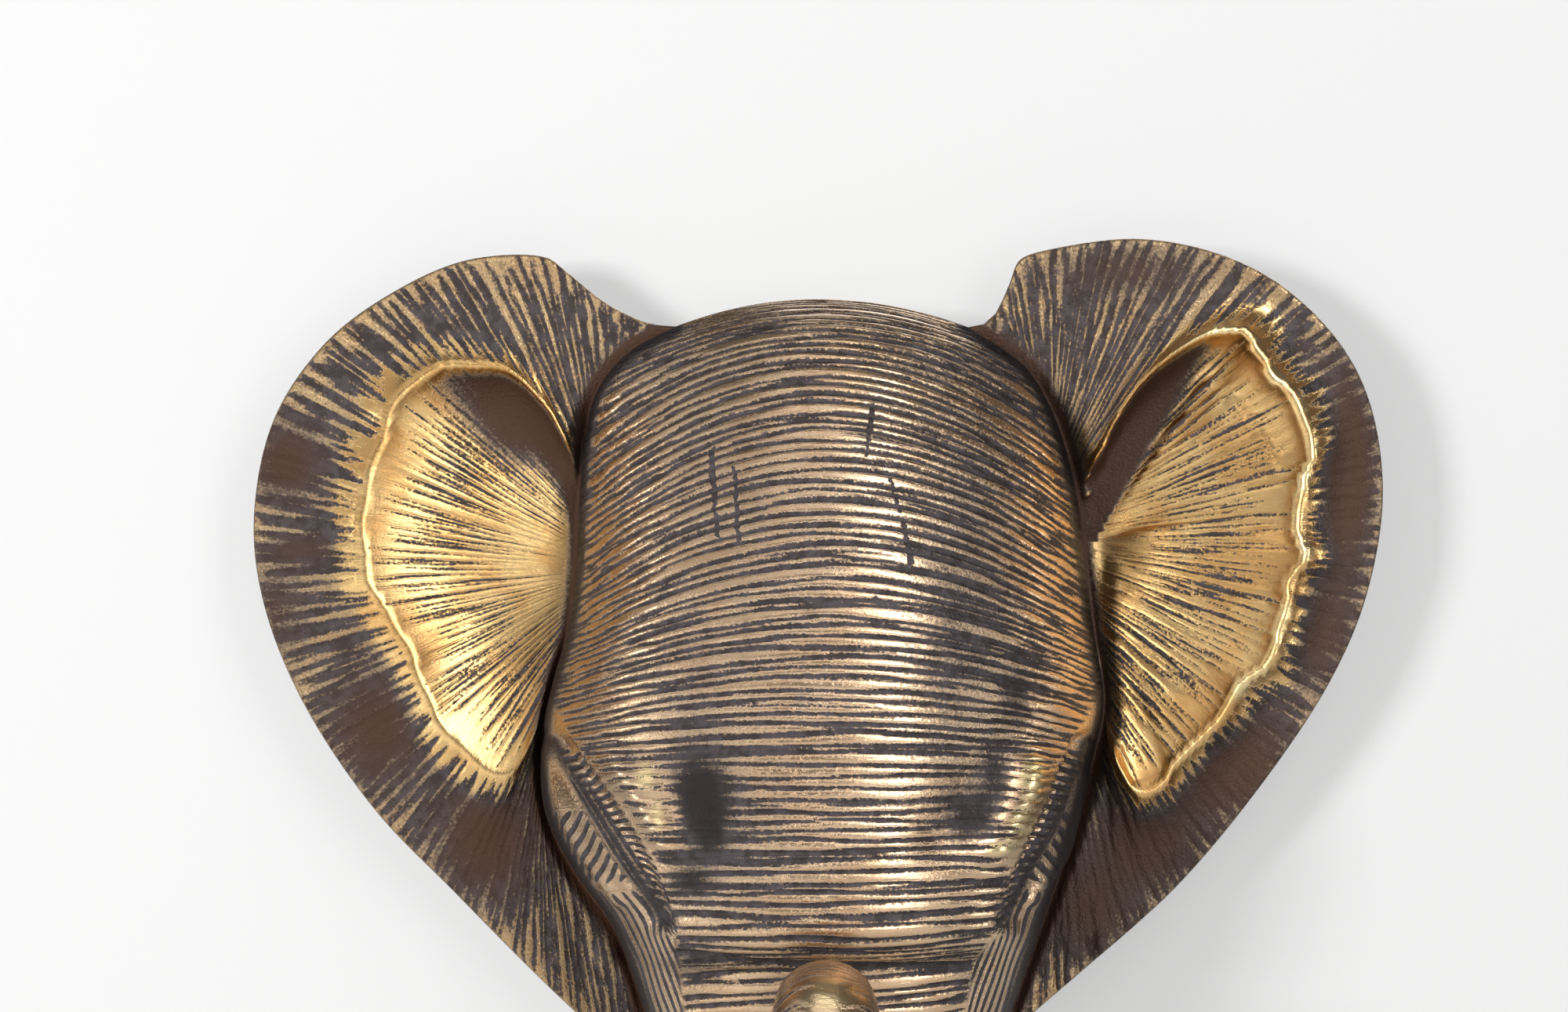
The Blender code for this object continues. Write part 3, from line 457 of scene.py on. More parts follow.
class Skin:
    """Collects the points, faces and carving marks of one closed surface."""

    def __init__(self):
        self.points = []
        self.faces = []
        self.marks = []

    def add(self, points, groove=0.0, flow=None, fine=(0.0, 0.0, 0.0, 0.0)):
        """Adds points and gives their numbers, in the same layout. Groove is how deep in a cut each point
        lies, from 0 to 1, and flow is its place across and along the cuts, in millimetres. Fine holds the
        count and strength of the lash cuts, and of the other fine lines, at each point."""
        points = np.asarray(points, dtype=float)
        shape = points.shape[:-1]
        start = len(self.points)
        self.points.extend(points.reshape(-1, 3))
        groove = np.broadcast_to(groove, shape).reshape(-1)
        if flow is None:
            flow = np.stack([points[..., 0] * 0.3, points[..., 2], points[..., 1]], axis=-1)
        flow = np.broadcast_to(flow, shape + (3,)).reshape(-1, 3)
        fine = np.broadcast_to(fine, shape + (4,)).reshape(-1, 4)
        self.marks.extend(np.column_stack([groove, flow, fine]))
        return np.arange(start, len(self.points)).reshape(shape)

    def places(self, numbers):
        return np.array([self.points[i] for i in numbers])

    def sheet(self, grid):
        for upper, lower in zip(grid[:-1], grid[1:]):
            for a, b, c, d in zip(upper[:-1], upper[1:], lower[1:], lower[:-1]):
                self.face(a, b, c, d)

    def pointed_sheet(self, grid, first, last):
        """A sheet whose first and last columns run together in a corner."""
        ends = np.ones((len(grid), 1), dtype=int)
        grid = np.hstack([ends * first, grid, ends * last])
        self.sheet(grid)
        return grid

    def face(self, *corners):
        kept = [int(c) for i, c in enumerate(corners) if c != corners[i - 1]]
        if len(set(kept)) > 2:
            self.faces.append(kept)

    def zip_up(self, one, other, one_at, other_at):
        """Joins two rows of points of different counts with triangles, by their places along the seam."""
        i = j = 0
        while i < len(one) - 1 or j < len(other) - 1:
            step_one = j == len(other) - 1 or (i < len(one) - 1 and one_at[i + 1] <= other_at[j + 1])
            if step_one:
                self.face(one[i], one[i + 1], other[j])
                i += 1
            else:
                self.face(one[i], other[j + 1], other[j])
                j += 1


def furrow_field(rows, columns, length):
    """Depth of the hand-cut furrows from 0 to 1 over the head's grid: long wandering cuts that meet and
    part, and short tapering ones between them."""
    field = np.zeros((rows, columns))
    places = np.linspace(0, length, rows)[:, None]
    column = np.arange(columns)
    centre = -1.0
    cuts = []
    while centre < length + 1:
        line = centre + 0.75 * wander(columns, 11) + 0.3 * wander(columns, 4)
        cuts.append((line, np.ones(columns), draw.uniform(0.52, 0.86)))
        centre += FURROW_PITCH * draw.uniform(0.78, 1.22)
    for _ in range(SHORT_FURROWS):
        middle, half, lean = drawn([(0, columns), (3, 11), (-0.11, 0.11)])
        line = draw.uniform(0, length) + lean * (column - middle) + 0.2 * wander(columns, 5)
        taper = np.clip(1 - ((column - middle) / half) ** 2, 0, 1)
        cuts.append((line, taper * draw.uniform(0.6, 1.0), draw.uniform(0.35, 0.6)))
    for line, weight, width in cuts:
        strength = weight * (0.75 + 0.25 * wander(columns, 5))
        wide = width * (0.85 + 0.35 * wander(columns, 4)) * (0.5 + 0.5 * np.sqrt(np.clip(weight, 0, 1)))
        cut = strength * np.exp(-(np.abs((places - line) / np.maximum(wide, 0.12)) ** 3.0))
        field = np.maximum(field, cut)
    return field


def hatch(x, y, starts, ends, width):
    """Short tapering marks from each start to its end, as a depth from 0 to 1."""
    field = np.zeros(np.shape(x))
    for start, end in zip(starts, ends):
        gap, t = to_run(x, y, start, end)
        field = np.maximum(field, bell(gap / width) * (1 - 0.5 * np.abs(2 * t - 1) ** 3))
    return field


def between(value, low, high, blend):
    """1 inside a range and 0 outside it, with eased edges."""
    return ease((value - low) / blend) * ease((high - value) / blend)


def eye_carving(x, y, eye, lid, lower_lid, valley, outward):
    """One eye: lift in millimetres, the count and strength of its lash cuts and of its other fine lines, and
    how far the furrows reach. Distances are in view units, positive towards the face's middle."""
    from_lid, lid_share = beside(lid, x, y)
    from_lid = from_lid * outward
    outside = -from_lid
    run = lid_share * lengths(smooth_curve(lid, 6))[-1]
    at_eye = between(y, *EYE_SPAN, 25)

    lift = -LID_DROP * ease(outside / 7.0) * ease((46 - outside) / 20.0) * at_eye
    crest = BROW_RISE * bell((from_lid - BROW_CREST) / 24.0)
    dip = BROW_HOLLOW * bell((from_lid - BROW_DIP) / 30.0)
    lift = lift + (crest - dip) * between(y, *BROW_SPAN, 60)

    share = np.clip((y - EYE_ENDS[0]) / (EYE_ENDS[1] - EYE_ENDS[0]), 0, 1)
    slant = 0.3 - 0.2 * share - 3.2 * share**2
    lashes = (run - slant * outside) / LASH_PITCH
    lashed = between(outside, -1, 27 - 10 * share, 4) * between(y, *LASH_SPAN, 14)
    lift = lift + LASH_HEIGHT * (0.5 + 0.5 * np.cos(2 * math.pi * lashes)) * lashed

    offset, place = beside(eye, x, y)
    gap = np.abs(offset)
    width = EYE_HALF_WIDTH * (0.25 + 0.75 * np.sin(math.pi * np.clip(place, 0.02, 0.98)))
    ends = between(place, 0.005, 0.995, 0.05)
    ball = np.clip(1 - (gap / width) ** 2, 0, 1)
    edge = bell((gap - width) / 3.2) * ends
    lift = lift + EYE_BALL * np.sqrt(ball) * ends - 0.5 * edge
    on_ball = ease((width - gap) / 3.0) * ends
    count = offset / EYE_LINE_PITCH
    strength = 0.8 * on_ball * between(place, 0.2, 0.98, 0.1)

    fold, fold_share = beside(lower_lid, x, y)
    ridge = bell(fold / 7.0) * between(fold_share, 0.0, 1.0, 0.06)
    lift = lift + LOWER_LID_RISE * ridge
    from_valley, _ = beside(valley, x, y)
    from_valley = from_valley * outward
    past_ball = ease((-offset * outward - width - 1) / 4.0) * ease((from_valley - 3) / 5.0)
    notches = past_ball * between(y, *NOTCH_SPAN, 12)
    count = np.where(notches > 0.02, (0.94 * outward * x + 0.35 * y) / NOTCH_PITCH, count)
    strength = np.where(notches > 0.02, notches, strength)
    sway = 0.16 * np.sin(y / 41.0) + 0.10 * np.sin(y / 17.0 + from_valley / 9.0)
    cheek = ease((y - CHEEK_TOP) / 14.0) * ease((from_valley - 3) / 5.0) * ease((outside - 2) / 6.0)
    cheek = cheek * np.maximum(past_ball, ease((y - EYE_SPAN[1]) / 12.0))
    count = np.where(cheek > 0.02, from_valley / CHEEK_PITCH + sway, count)
    strength = np.where(cheek > 0.02, 0.75 * cheek, strength)

    smooth_band = 8 + 26 * between(y, *SMOOTH_SPAN, 45)
    reach = ease((from_lid + 5) / smooth_band)
    oval = swell(from_lid, y, (BROW_DIP, BROW_MIDDLE), (42.0, 46.0))
    return lift, (lashes, lashed, count, strength), reach * (1 - 0.6 * oval)


def face_carving(x, y):
    """Lift of the face's swells and eyes in millimetres, the depth of its fold from 0 to 1, the counts and
    strengths of the fine cuts round the eyes, and how far the furrows reach."""
    *roll, height = ROLL
    lift = height * swell(x, y, *roll)
    depth = hatch(x, y, FOLD[:-1], FOLD[1:], FOLD_HALF_WIDTH)
    lift = lift - FOLD_DEPTH * depth
    reach = np.ones(np.shape(x))
    fine = np.zeros(np.shape(x) + (4,))
    for eye, lid, lower_lid, valley, outward in ((LEFT_EYE, LEFT_LID, LEFT_LOWER_LID, LEFT_VALLEY, 1.0),
                                                 (RIGHT_EYE, RIGHT_LID, RIGHT_LOWER_LID, RIGHT_VALLEY, -1.0)):
        one_lift, one_fine, one_reach = eye_carving(x, y, eye, lid, lower_lid, valley, outward)
        here = (x - ORIGIN_SPOT[0]) * outward < 0
        lift = lift + one_lift
        fine[here] = np.stack(one_fine, axis=-1)[here]
        reach = reach * one_reach
    return lift, depth, fine, reach


def head_turns():
    middle = np.linspace(-SIDE_TURN, SIDE_TURN, MIDDLE_COLUMNS + 1)
    side = np.linspace(SIDE_TURN, LAST_TURN, SIDE_COLUMNS + 1)[1:]
    return np.radians(np.concatenate([-side[::-1], middle, side]))


def head_front(skin):
    """The furrowed head, from the top edge to the trunk's root."""
    total = middle_line()[1][-1]
    down = np.linspace(0.0, total, HEAD_ROWS + 1)
    turns = head_turns()
    turn_grid, down_grid = np.meshgrid(turns, down)
    x, y, rise = head_view(turn_grid, down_grid)
    smooth = spot(x, y, rise)
    normal = normals_of(smooth)
    lift, carved, fine, reach = face_carving(x, y)
    furrows = furrow_field(len(down), len(turns), total) * reach
    groove = np.maximum(furrows, carved)
    groove *= ease(down_grid / 2.0)
    edge = ease((np.radians(LAST_TURN + 1) - np.abs(turn_grid)) / 0.06)
    points = smooth + normal * (lift - FURROW_DEPTH * groove * edge)[..., None]
    arc = np.cumsum(np.linalg.norm(np.diff(smooth, axis=1, prepend=smooth[:, :1]), axis=-1), axis=1)
    arc = arc - arc[:, len(turns) // 2][:, None]
    flow = np.stack([down_grid, arc, 0 * arc], axis=-1)
    numbers = skin.add(points, groove, flow, fine)
    skin.sheet(numbers)
    return numbers, y


def cuts_along(rim, place, cuts, steps):
    """Depth from 0 to 1 of cuts that follow an ear's strokes. Each cut is its place along the rim, its start
    and end along the strokes, its half width and its strength."""
    field = np.zeros(np.shape(place))
    for at, start, end, wide, strong in cuts:
        line = at + (5.0 * wander(steps, 14) + 2.0 * wander(steps, 5))[:, None]
        run = (place - start) / (end - start)
        taper = np.sqrt(np.clip(4 * run * (1 - run), 0, 1))
        wobble = (0.8 + 0.3 * wander(steps, 4))[:, None]
        cut = strong * taper * wobble * np.exp(-(np.abs((rim - line) / (wide * (0.4 + 0.6 * taper))) ** 2.6))
        field = np.maximum(field, cut)
    return np.clip(field, 0, 1)


def beyond_lip(side, x, y, step):
    """How far along its stroke a place lies on the flange, from the lip (or valley) at 0 to the rim at 1."""
    _, _, radius, lip_radius = side.bearings(x, y)
    inside = radius < lip_radius
    lip_step = np.minimum((step * inside).max(axis=0), 0.97)
    return (step - lip_step) / (1 - lip_step)


# Ranges of an ear's strokes: start and end, or start and length, then half width and strength
FLANGE_STROKES = [(-0.3, 0.2), (0.92, 1.25), (2.8, 4.8), (0.55, 1.0)]
HOLLOW_STROKES = [(0.0, 0.3), (0.85, 1.1), (2.8, 4.6), (0.6, 1.0)]
SHORT_FLANGE_STROKES = [(-0.1, 0.6), (0.2, 0.45), (2.4, 3.8), (0.45, 0.9)]
SHORT_HOLLOW_STROKES = [(0.25, 0.6), (0.2, 0.4), (2.4, 3.6), (0.5, 0.9)]
SHORT_STROKES = 140


def stroke_field(side, share, x, y, step, from_valley):
    """Depth of an ear's fanned cuts from 0 to 1 over its grid: spindles on the flange, and longer, finer,
    wavy ones in the hollow. The lip between them stays smooth."""
    _, toward, radius, lip_radius = side.bearings(x, y)
    inner = radius / lip_radius
    outer = beyond_lip(side, x, y, step)
    rim = (share * side.rim_length)[None, :]
    on_flange, in_hollow = [], []
    at = 6.0
    while at < side.rim_length - 6:
        on_flange.append((at, *drawn(FLANGE_STROKES)))
        in_hollow.append((at + draw.uniform(-5, 5), *drawn(HOLLOW_STROKES)))
        at += STROKE_PITCH * draw.uniform(0.75, 1.25)
    for _ in range(SHORT_STROKES):
        for cuts, ranges in ((on_flange, SHORT_FLANGE_STROKES), (in_hollow, SHORT_HOLLOW_STROKES)):
            start, at, run, wide, strong = drawn([ranges[0], (0, side.rim_length), *ranges[1:]])
            cuts.append((at, start, start + run, wide, strong))
    steps = len(x)
    flange = cuts_along(rim, outer, on_flange, steps) * ease((radius - lip_radius - 2) / 9.0)
    hollow_cuts = cuts_along(rim, inner, in_hollow, steps) * ease((lip_radius - radius - 1) / 9.0)
    hollow_cuts *= 1 - side.crescent(toward, inner)
    return np.maximum(flange, hollow_cuts) * ease((from_valley - 8) / 25.0)


def fan_grid(side, share, steps):
    """The ear's grid in the front view: strokes across, steps from the valley out to the rim."""
    start, end = side.fan_ends(share)
    step = steps[:, None] * np.ones(len(share))
    x = start[:, 0] + (end[:, 0] - start[:, 0]) * step
    y = start[:, 1] + (end[:, 1] - start[:, 1]) * step
    run = np.hypot(end[:, 0] - start[:, 0], end[:, 1] - start[:, 1])
    return x, y, step, run


def ear_front(skin, side, corner_top, corner_low):
    """The ear's carved front, from its valley out to its rim; both ends run together at a corner."""
    share = np.linspace(0, 1, EAR_COLUMNS + 1)[1:-1]
    even = np.linspace(0, 1, EAR_STEPS - 2)
    x, y, step, run = fan_grid(side, share, np.append(even[:-1], RIM_STEPS))
    from_valley = run * step
    rise = side.rise(x, y, from_valley)
    edge = np.clip(1 - run * (1 - step) * VIEW_UNIT / RIM_ROUND, 0, 1)
    rise = rise - RIM_ROUND * (1 - np.sqrt(1 - edge**2))
    outer = beyond_lip(side, x, y, step)
    ripple = wander(len(share), 17)[None, :] * ease(outer / 0.5) * ease(from_valley / 80.0)
    rise = rise + RIPPLE_HEIGHT * ripple
    for (bx, by), wide, height in BOSSES:
        rise = rise + height * np.exp(-(((x - bx) ** 2 + (y - by) ** 2) / wide**2))
    groove = stroke_field(side, share, x, y, step, from_valley) * ease((1 - edge) * 2)
    points = spot(x, y, rise)
    points = points - normals_of(points) * (STROKE_DEPTH * groove)[..., None]
    flow = np.stack([0 * x + share * side.rim_length * VIEW_UNIT, from_valley * VIEW_UNIT, 0 * x + EAR_FLOW],
                    axis=-1)
    numbers = skin.pointed_sheet(skin.add(points, groove, flow), corner_top, corner_low)
    valley_y = capped(side.valley[0, 1], y[0], side.valley[-1, 1])
    return numbers[0], valley_y, numbers[-1], capped(0.0, share, 1.0)


def ear_back(skin, side, corner_top, corner_low):
    """The ear's plain back, a plate's thickness behind the smooth front."""
    share = np.linspace(0, 1, SIDE_STEPS + 1)[1:-1]
    x, y, step, run = fan_grid(side, share, np.linspace(0, 1, EAR_BACK_STEPS + 1))
    rise = side.rise(x, y, run * step)
    slope = np.gradient(rise, axis=0) / np.maximum(VIEW_UNIT * run / EAR_BACK_STEPS, 0.5)
    thick = EAR_PLATE * np.minimum(np.sqrt(1 + slope**2), 1.8)
    numbers = skin.add(spot(x, y, np.minimum(rise - thick, EAR_BACK_HIGHEST)), BACK_GROOVE)
    numbers = skin.pointed_sheet(numbers, corner_top, corner_low)
    return numbers[0], numbers[-1], capped(0.0, share, 1.0)


def lower_to(points, rise):
    """The same points moved straight back to a rise above the wall."""
    moved = np.array(points, dtype=float)
    moved[:, 1] = BAR_BACK - rise
    return moved


def inset_loop(loop, amount):
    """The loop of points moved inward by an amount in the plane of the wall."""
    before = np.roll(loop, 1, axis=0)
    after = np.roll(loop, -1, axis=0)
    run = after - before
    inward = np.stack([-run[:, 2], 0 * run[:, 0], run[:, 0]], axis=-1)
    inward /= np.linalg.norm(inward, axis=1, keepdims=True)
    middle = loop.mean(axis=0)
    inward *= np.sign(np.sum(inward * (middle - loop), axis=1).sum())
    return loop + inward * amount


def spine(path, at):
    """Points on the middle line of the trunk at distances along its path."""
    rise, height = (np.interp(at, lengths(path[:, :2]), path[:, i]) for i in range(2))
    return np.stack([0 * at, BAR_BACK - rise, height], axis=-1)


def ring(path, at, angles, inward=0.0):
    """Points round the trunk at distances along its path, some way in from its skin."""
    wide, deep = (np.interp(at, lengths(path[:, :2]), path[:, i]) - inward for i in (2, 3))
    ahead = along(path[:, :2], at + 0.5) - along(path[:, :2], at - 0.5)
    ahead /= np.linalg.norm(ahead, axis=1, keepdims=True)
    out = deep * np.cos(angles)
    return spine(path, at) + np.stack([wide * np.sin(angles), out * ahead[:, 1], out * ahead[:, 0]], axis=-1)


def trunk(skin, root, root_angles):
    """The trunk from its root ring down, forward and up to its tip, which bends back towards the face.
    Its rows follow the cut rings, so that every second row lies in a cut."""
    path = smooth_curve(TRUNK_PATH)
    total = lengths(path[:, :2])[-1]
    root_points = skin.places(root)
    rows = [root]
    for half in range(1, ROOT_ROWS):
        at, marks, clean = ring_row(path, half, root_angles)
        share = ease(at / (ROOT_ROWS * RING_PITCH / 2))[:, None]
        carried = root_points + spine(path, at) - spine(path, 0 * at)
        flow = trunk_flow(at, root_angles * ROOT_RADIUS)
        rows.append(skin.add(carried * (1 - share) + clean * share, 0.0, flow, marks))
    rows = closed(rows)
    skin.sheet(rows)
    angles = np.linspace(-math.pi / 2, 3 * math.pi / 2, TRUNK_SIDES + 1)[:-1]
    tube = []
    for half in range(ROOT_ROWS, int(2 * total / RING_PITCH)):
        at, marks, points = ring_row(path, half, angles)
        tube.append(skin.add(points, 0.0, trunk_flow(at, angles * TUBE_RADIUS), marks))
    last = total + 0 * angles
    end = ring(path, last, angles)
    tube.append(skin.add(end, 0.0, trunk_flow(last, angles * TUBE_RADIUS)))
    centre = end.mean(axis=0)
    ahead = centre - ring(path, last - 2, angles).mean(axis=0)
    ahead /= np.linalg.norm(ahead)
    for bend in np.sin(np.linspace(0, math.pi / 2, 8))[1:-1]:
        tube.append(skin.add(centre + (end - centre) * math.sqrt(1 - bend**2) + ahead * bend * TIP_LENGTH))
    tube = closed(tube)
    seams = (np.append(turns, turns[0] + 2 * math.pi) for turns in (root_angles, angles))
    skin.zip_up(rows[-1], tube[0], *seams)
    skin.sheet(tube)
    tip = skin.add([centre + ahead * TIP_LENGTH])[0]
    for a, b in zip(tube[-1][:-1], tube[-1][1:]):
        skin.face(a, b, tip)


def closed(rows):
    """Each row with its first number again at its end."""
    return [np.append(row, row[0]) for row in rows]


def trunk_flow(at, across):
    return np.column_stack([TRUNK_FLOW_START + at, across, 0 * across])


def ring_row(path, half, angles):
    """A row of the trunk, at a number of half rings: how far along its points lie, their marks and places."""
    at = row_place(half, angles)
    marks = trunk_rings(at, lengths(path[:, :2])[-1], angles)
    return at, marks, ring(path, at, angles, RING_DEPTH * marks[:, 3] * (half % 2))


def ring_count(at, angles):
    """How many cut rings lie between the trunk's root and a place on it. A cut is deepest halfway."""
    wobble = 0.22 * np.sin(angles * 2 + at / 9) + 0.14 * np.sin(angles * 5 + at / 5)
    return at / RING_PITCH + wobble * ease(at / RINGS_START)


def row_place(half, angles):
    """How far along the trunk each point of a row lies, for a row at a number of half rings."""
    at = half * RING_PITCH / 2 + 0 * angles
    for _ in range(8):
        at = at - RING_PITCH * (ring_count(at, angles) - half / 2)
    return at


def trunk_rings(at, total, angles):
    """Count and strength of the rings cut round the trunk, at a distance along it and the angles round it."""
    fade = ease(at / RINGS_START) * (1 - 0.45 * ease((at / total - 0.8) / 0.15))
    strength = (0.68 + 0.2 * np.sin(angles * 3 + at / 4)) * fade
    return np.column_stack([0 * angles, 0 * angles, ring_count(at, angles), strength])


def hollow(skin, mouth):
    """The hollow inside the head: walls that rise from its mouth, and the head's form a shell further in."""
    turns = np.radians(np.linspace(-HOLLOW_TURN, HOLLOW_TURN, ARC_STEPS + 1))
    total = middle_line()[1][-1]
    down = np.linspace(HOLLOW_RUN[0] * total, HOLLOW_RUN[1] * total, SIDE_STEPS + 1)
    turn_grid, down_grid = np.meshgrid(turns, down)
    smooth = spot(*head_view(turn_grid, down_grid))
    inner = skin.add(smooth - normals_of(smooth) * HEAD_SHELL, HOLLOW_GROOVE)
    skin.sheet(inner)
    loop = np.concatenate([inner[0], inner[1:, -1], inner[-1, -2::-1], inner[-2:0:-1, 0]])
    skin.sheet(closed([mouth, loop]))


def bar_places(loop, side_start):
    """Sets the bar's ends on the mouth's two sides and gives the runs of faces that they cover."""
    count = len(loop)
    runs = []
    for first in (side_start, side_start + SIDE_STEPS + ARC_STEPS):
        places = []
        heights = np.array([loop[i % count][2] for i in range(first, first + SIDE_STEPS + 1)])
        for edge in (BAR_HALF_HEIGHT, -BAR_HALF_HEIGHT):
            near = first + int(np.argmin(np.abs(heights - edge)))
            step = 1 if loop[(near + 1) % count][2] != loop[near % count][2] else -1
            a, b = loop[near % count].copy(), loop[(near + step) % count].copy()
            share = (a[2] - edge) / (a[2] - b[2])
            loop[near % count] = a + (b - a) * share
            places.append(near % count)
        runs.append((min(places), max(places)))
    return runs


def hanging_bar(skin, back, front, runs):
    """The bar across the hollow, between the two runs of the mouth's wall that it grows from."""
    right, left = (list(range(first, last + 1)) for first, last in runs)
    left.reverse()
    for row in (back, front):
        a, b = [row[i] for i in right], [row[i] for i in left]
        skin.zip_up(a, b, np.linspace(0, 1, len(a)), np.linspace(0, 1, len(b)))
    for i, j in ((right[0], left[0]), (right[-1], left[-1])):
        skin.face(back[i], front[i], front[j], back[j])


def collar(skin, top, low, left, right):
    """The collar from the ears' level back to the wall, its flat foot and the hollow within."""
    level = np.concatenate([top, right[1:], low[-2::-1], left[-2:0:-1]])
    foot_points = lower_to(skin.places(level), 0.0)
    foot = skin.add(foot_points, FOOT_GROOVE)
    inset = inset_loop(foot_points, CASTING_WALL)
    runs = bar_places(inset, ARC_STEPS)
    rises = (0.0, BAR_BACK, BAR_FRONT, COLLAR_LEVEL)
    levels = [skin.add(lower_to(inset, rise), MOUTH_GROOVE) for rise in rises]
    rows = closed([level, foot] + levels)
    at_bar = {i for run in runs for i in range(*run)}
    for number, (upper, lower) in enumerate(zip(rows[:-1], rows[1:])):
        for i in range(len(level)):
            if number != 3 or i not in at_bar:
                skin.face(upper[i], upper[i + 1], lower[i + 1], lower[i])
    hanging_bar(skin, levels[1], levels[2], runs)
    hollow(skin, levels[-1])


def resample(points, count):
    run = lengths(points)
    return along(points, np.linspace(0, run[-1], count + 1))


def casting():
    """The whole sculpture as one closed surface."""
    skin = Skin()
    corners = []
    for x, y in (LEFT.valley[0], LEFT.valley[-1], RIGHT.valley[0], RIGHT.valley[-1]):
        rises = np.array([read(VALLEY_RISE, y), COLLAR_LEVEL])
        corners.append(skin.add(spot(np.full(2, x), np.full(2, y), rises)))
    top_left, low_left, top_right, low_right = corners
    head, head_y = head_front(skin)

    backs = []
    for side, column, top, low in ((LEFT, 0, top_left, low_left), (RIGHT, -1, top_right, low_right)):
        inner, inner_y, rim, rim_at = ear_front(skin, side, top[0], low[0])
        skin.zip_up(head[:, column], inner, head_y[:, column], inner_y)
        back_inner, back_rim, back_at = ear_back(skin, side, top[1], low[1])
        skin.zip_up(rim, back_rim, rim_at, back_at)
        backs.append(back_inner)

    top_line = capped(top_left[0], head[0], top_right[0])
    top_points = skin.places(top_line)
    edge = resample(lower_to(top_points, COLLAR_LEVEL), ARC_STEPS)
    edge_numbers = skin.add(edge[1:-1])
    top_level = capped(top_left[1], edge_numbers, top_right[1])
    run = lengths(top_points)
    skin.zip_up(top_line, top_level, run / run[-1], np.linspace(0, 1, ARC_STEPS + 1))

    ends = skin.places([low_left[0], low_right[0]])
    share = np.linspace(0, 1, ARC_STEPS + 1)[1:-1, None]
    throat_points = ends[0] + (ends[1] - ends[0]) * share
    sag = np.sin(np.pi * share[:, 0])
    throat_points[:, 1] += THROAT_SAG * sag
    throat = skin.add(throat_points)
    low_level_points = throat_points.copy()
    low_level_points[:, 1] = BAR_BACK - COLLAR_LEVEL + THROAT_BACK_SAG * sag
    low_mid = skin.add(low_level_points)
    low_line = capped(low_left[0], throat, low_right[0])
    low_level = capped(low_left[1], low_mid, low_right[1])
    skin.sheet([low_line, low_level])

    collar(skin, top_level, low_level, *backs)

    quarter = math.pi / 2
    back_turns = np.linspace(quarter, 3 * quarter, ARC_STEPS + 1)[1:-1]
    root = np.append(capped(low_left[0], head[-1], low_right[0]), throat[::-1])
    trunk(skin, root, np.append(capped(-quarter, head_turns(), quarter), back_turns))
    return skin


class Nodes:
    """A material's node tree, with short calls to fill it."""

    def __init__(self, name):
        self.material = bpy.data.materials.new(name)
        self.material.use_nodes = True
        self.tree = self.material.node_tree
        self.tree.nodes.clear()

    def add(self, kind, inputs=(), **settings):
        node = self.tree.nodes.new(kind)
        for key, value in settings.items():
            setattr(node, key, value)
        for key, value in dict(inputs).items():
            if isinstance(value, bpy.types.NodeSocket):
                self.tree.links.new(value, node.inputs[key])
            else:
                node.inputs[key].default_value = value
        return node

    def attribute(self, name, output="Fac"):
        return self.add("ShaderNodeAttribute", attribute_name=name).outputs[output]

    def scaled(self, value, factor, offset):
        inputs = {0: value, 1: factor, 2: offset}
        return self.add("ShaderNodeMath", inputs, operation="MULTIPLY_ADD").outputs[0]

    def finish(self, kind, inputs):
        """Sets the surface's shader and gives the material."""
        self.add("ShaderNodeOutputMaterial", {"Surface": self.add(kind, inputs).outputs[0]})
        return self.material

    def math(self, operation, a, b=0.0, clamp=False):
        return self.add("ShaderNodeMath", {0: a, 1: b}, operation=operation, use_clamp=clamp).outputs[0]

    def spread(self, value, low, high, to_low=0.0, to_high=1.0):
        inputs = {"Value": value, "From Min": low, "From Max": high, "To Min": to_low, "To Max": to_high}
        return self.add("ShaderNodeMapRange", inputs, interpolation_type="SMOOTHSTEP").outputs[0]

    def mix(self, factor, a, b):
        return self.add("ShaderNodeMix", {0: factor, 6: a, 7: b}, data_type="RGBA").outputs[2]

    def vector(self, operation, a, b=(0, 0, 0), scale=1.0):
        node = self.add("ShaderNodeVectorMath", {0: a, 1: b, 3: scale}, operation=operation)
        return node.outputs["Value" if operation in ("DOT_PRODUCT", "DISTANCE") else "Vector"]

    def fine_cuts(self, name, sharpness):
        """Depth of the fine cuts that an attribute counts, and how strong they are."""
        parts = self.add("ShaderNodeSeparateXYZ", {0: self.attribute(name, "Vector")}).outputs
        wave = self.math("COSINE", self.math("MULTIPLY", parts["X"], 2 * math.pi))
        wave = self.scaled(wave, -0.5, 0.5)
        return self.math("MULTIPLY", self.math("POWER", wave, sharpness), parts["Y"]), parts["Y"]

    def scratch(self, view, start, end, width):
        """1 along a line between two places of the front view, and 0 beyond its half width."""
        start, end = Vector((*start, 0)), Vector((*end, 0))
        run = end - start
        offset = self.vector("SUBTRACT", view, start)
        ahead = self.vector("DOT_PRODUCT", offset, run / run.length_squared)
        share = self.math("ADD", ahead, 0.0, clamp=True)
        gap = self.vector("DISTANCE", offset, self.vector("SCALE", tuple(run), scale=share))
        return self.spread(gap, 0.3 * width, 1.2 * width, 1.0, 0.0)

    def noise(self, vector, scale, detail=3.0, roughness=0.6):
        inputs = {"Vector": vector, "Scale": scale, "Detail": detail, "Roughness": roughness}
        return self.add("ShaderNodeTexNoise", inputs).outputs["Fac"]


# Scratches across the brow's furrows, and a pit: both ends and the half width, in view units
SCRATCHES = [
    ((908, 574), (914, 684), 4.0), ((937, 596), (942, 690), 3.6), ((1113, 518), (1105, 580), 3.2),
    ((1150, 662), (1162, 718), 3.6), ((1135, 612), (1147, 652), 2.6), ((1117, 764), (1124, 767), 5.0)]
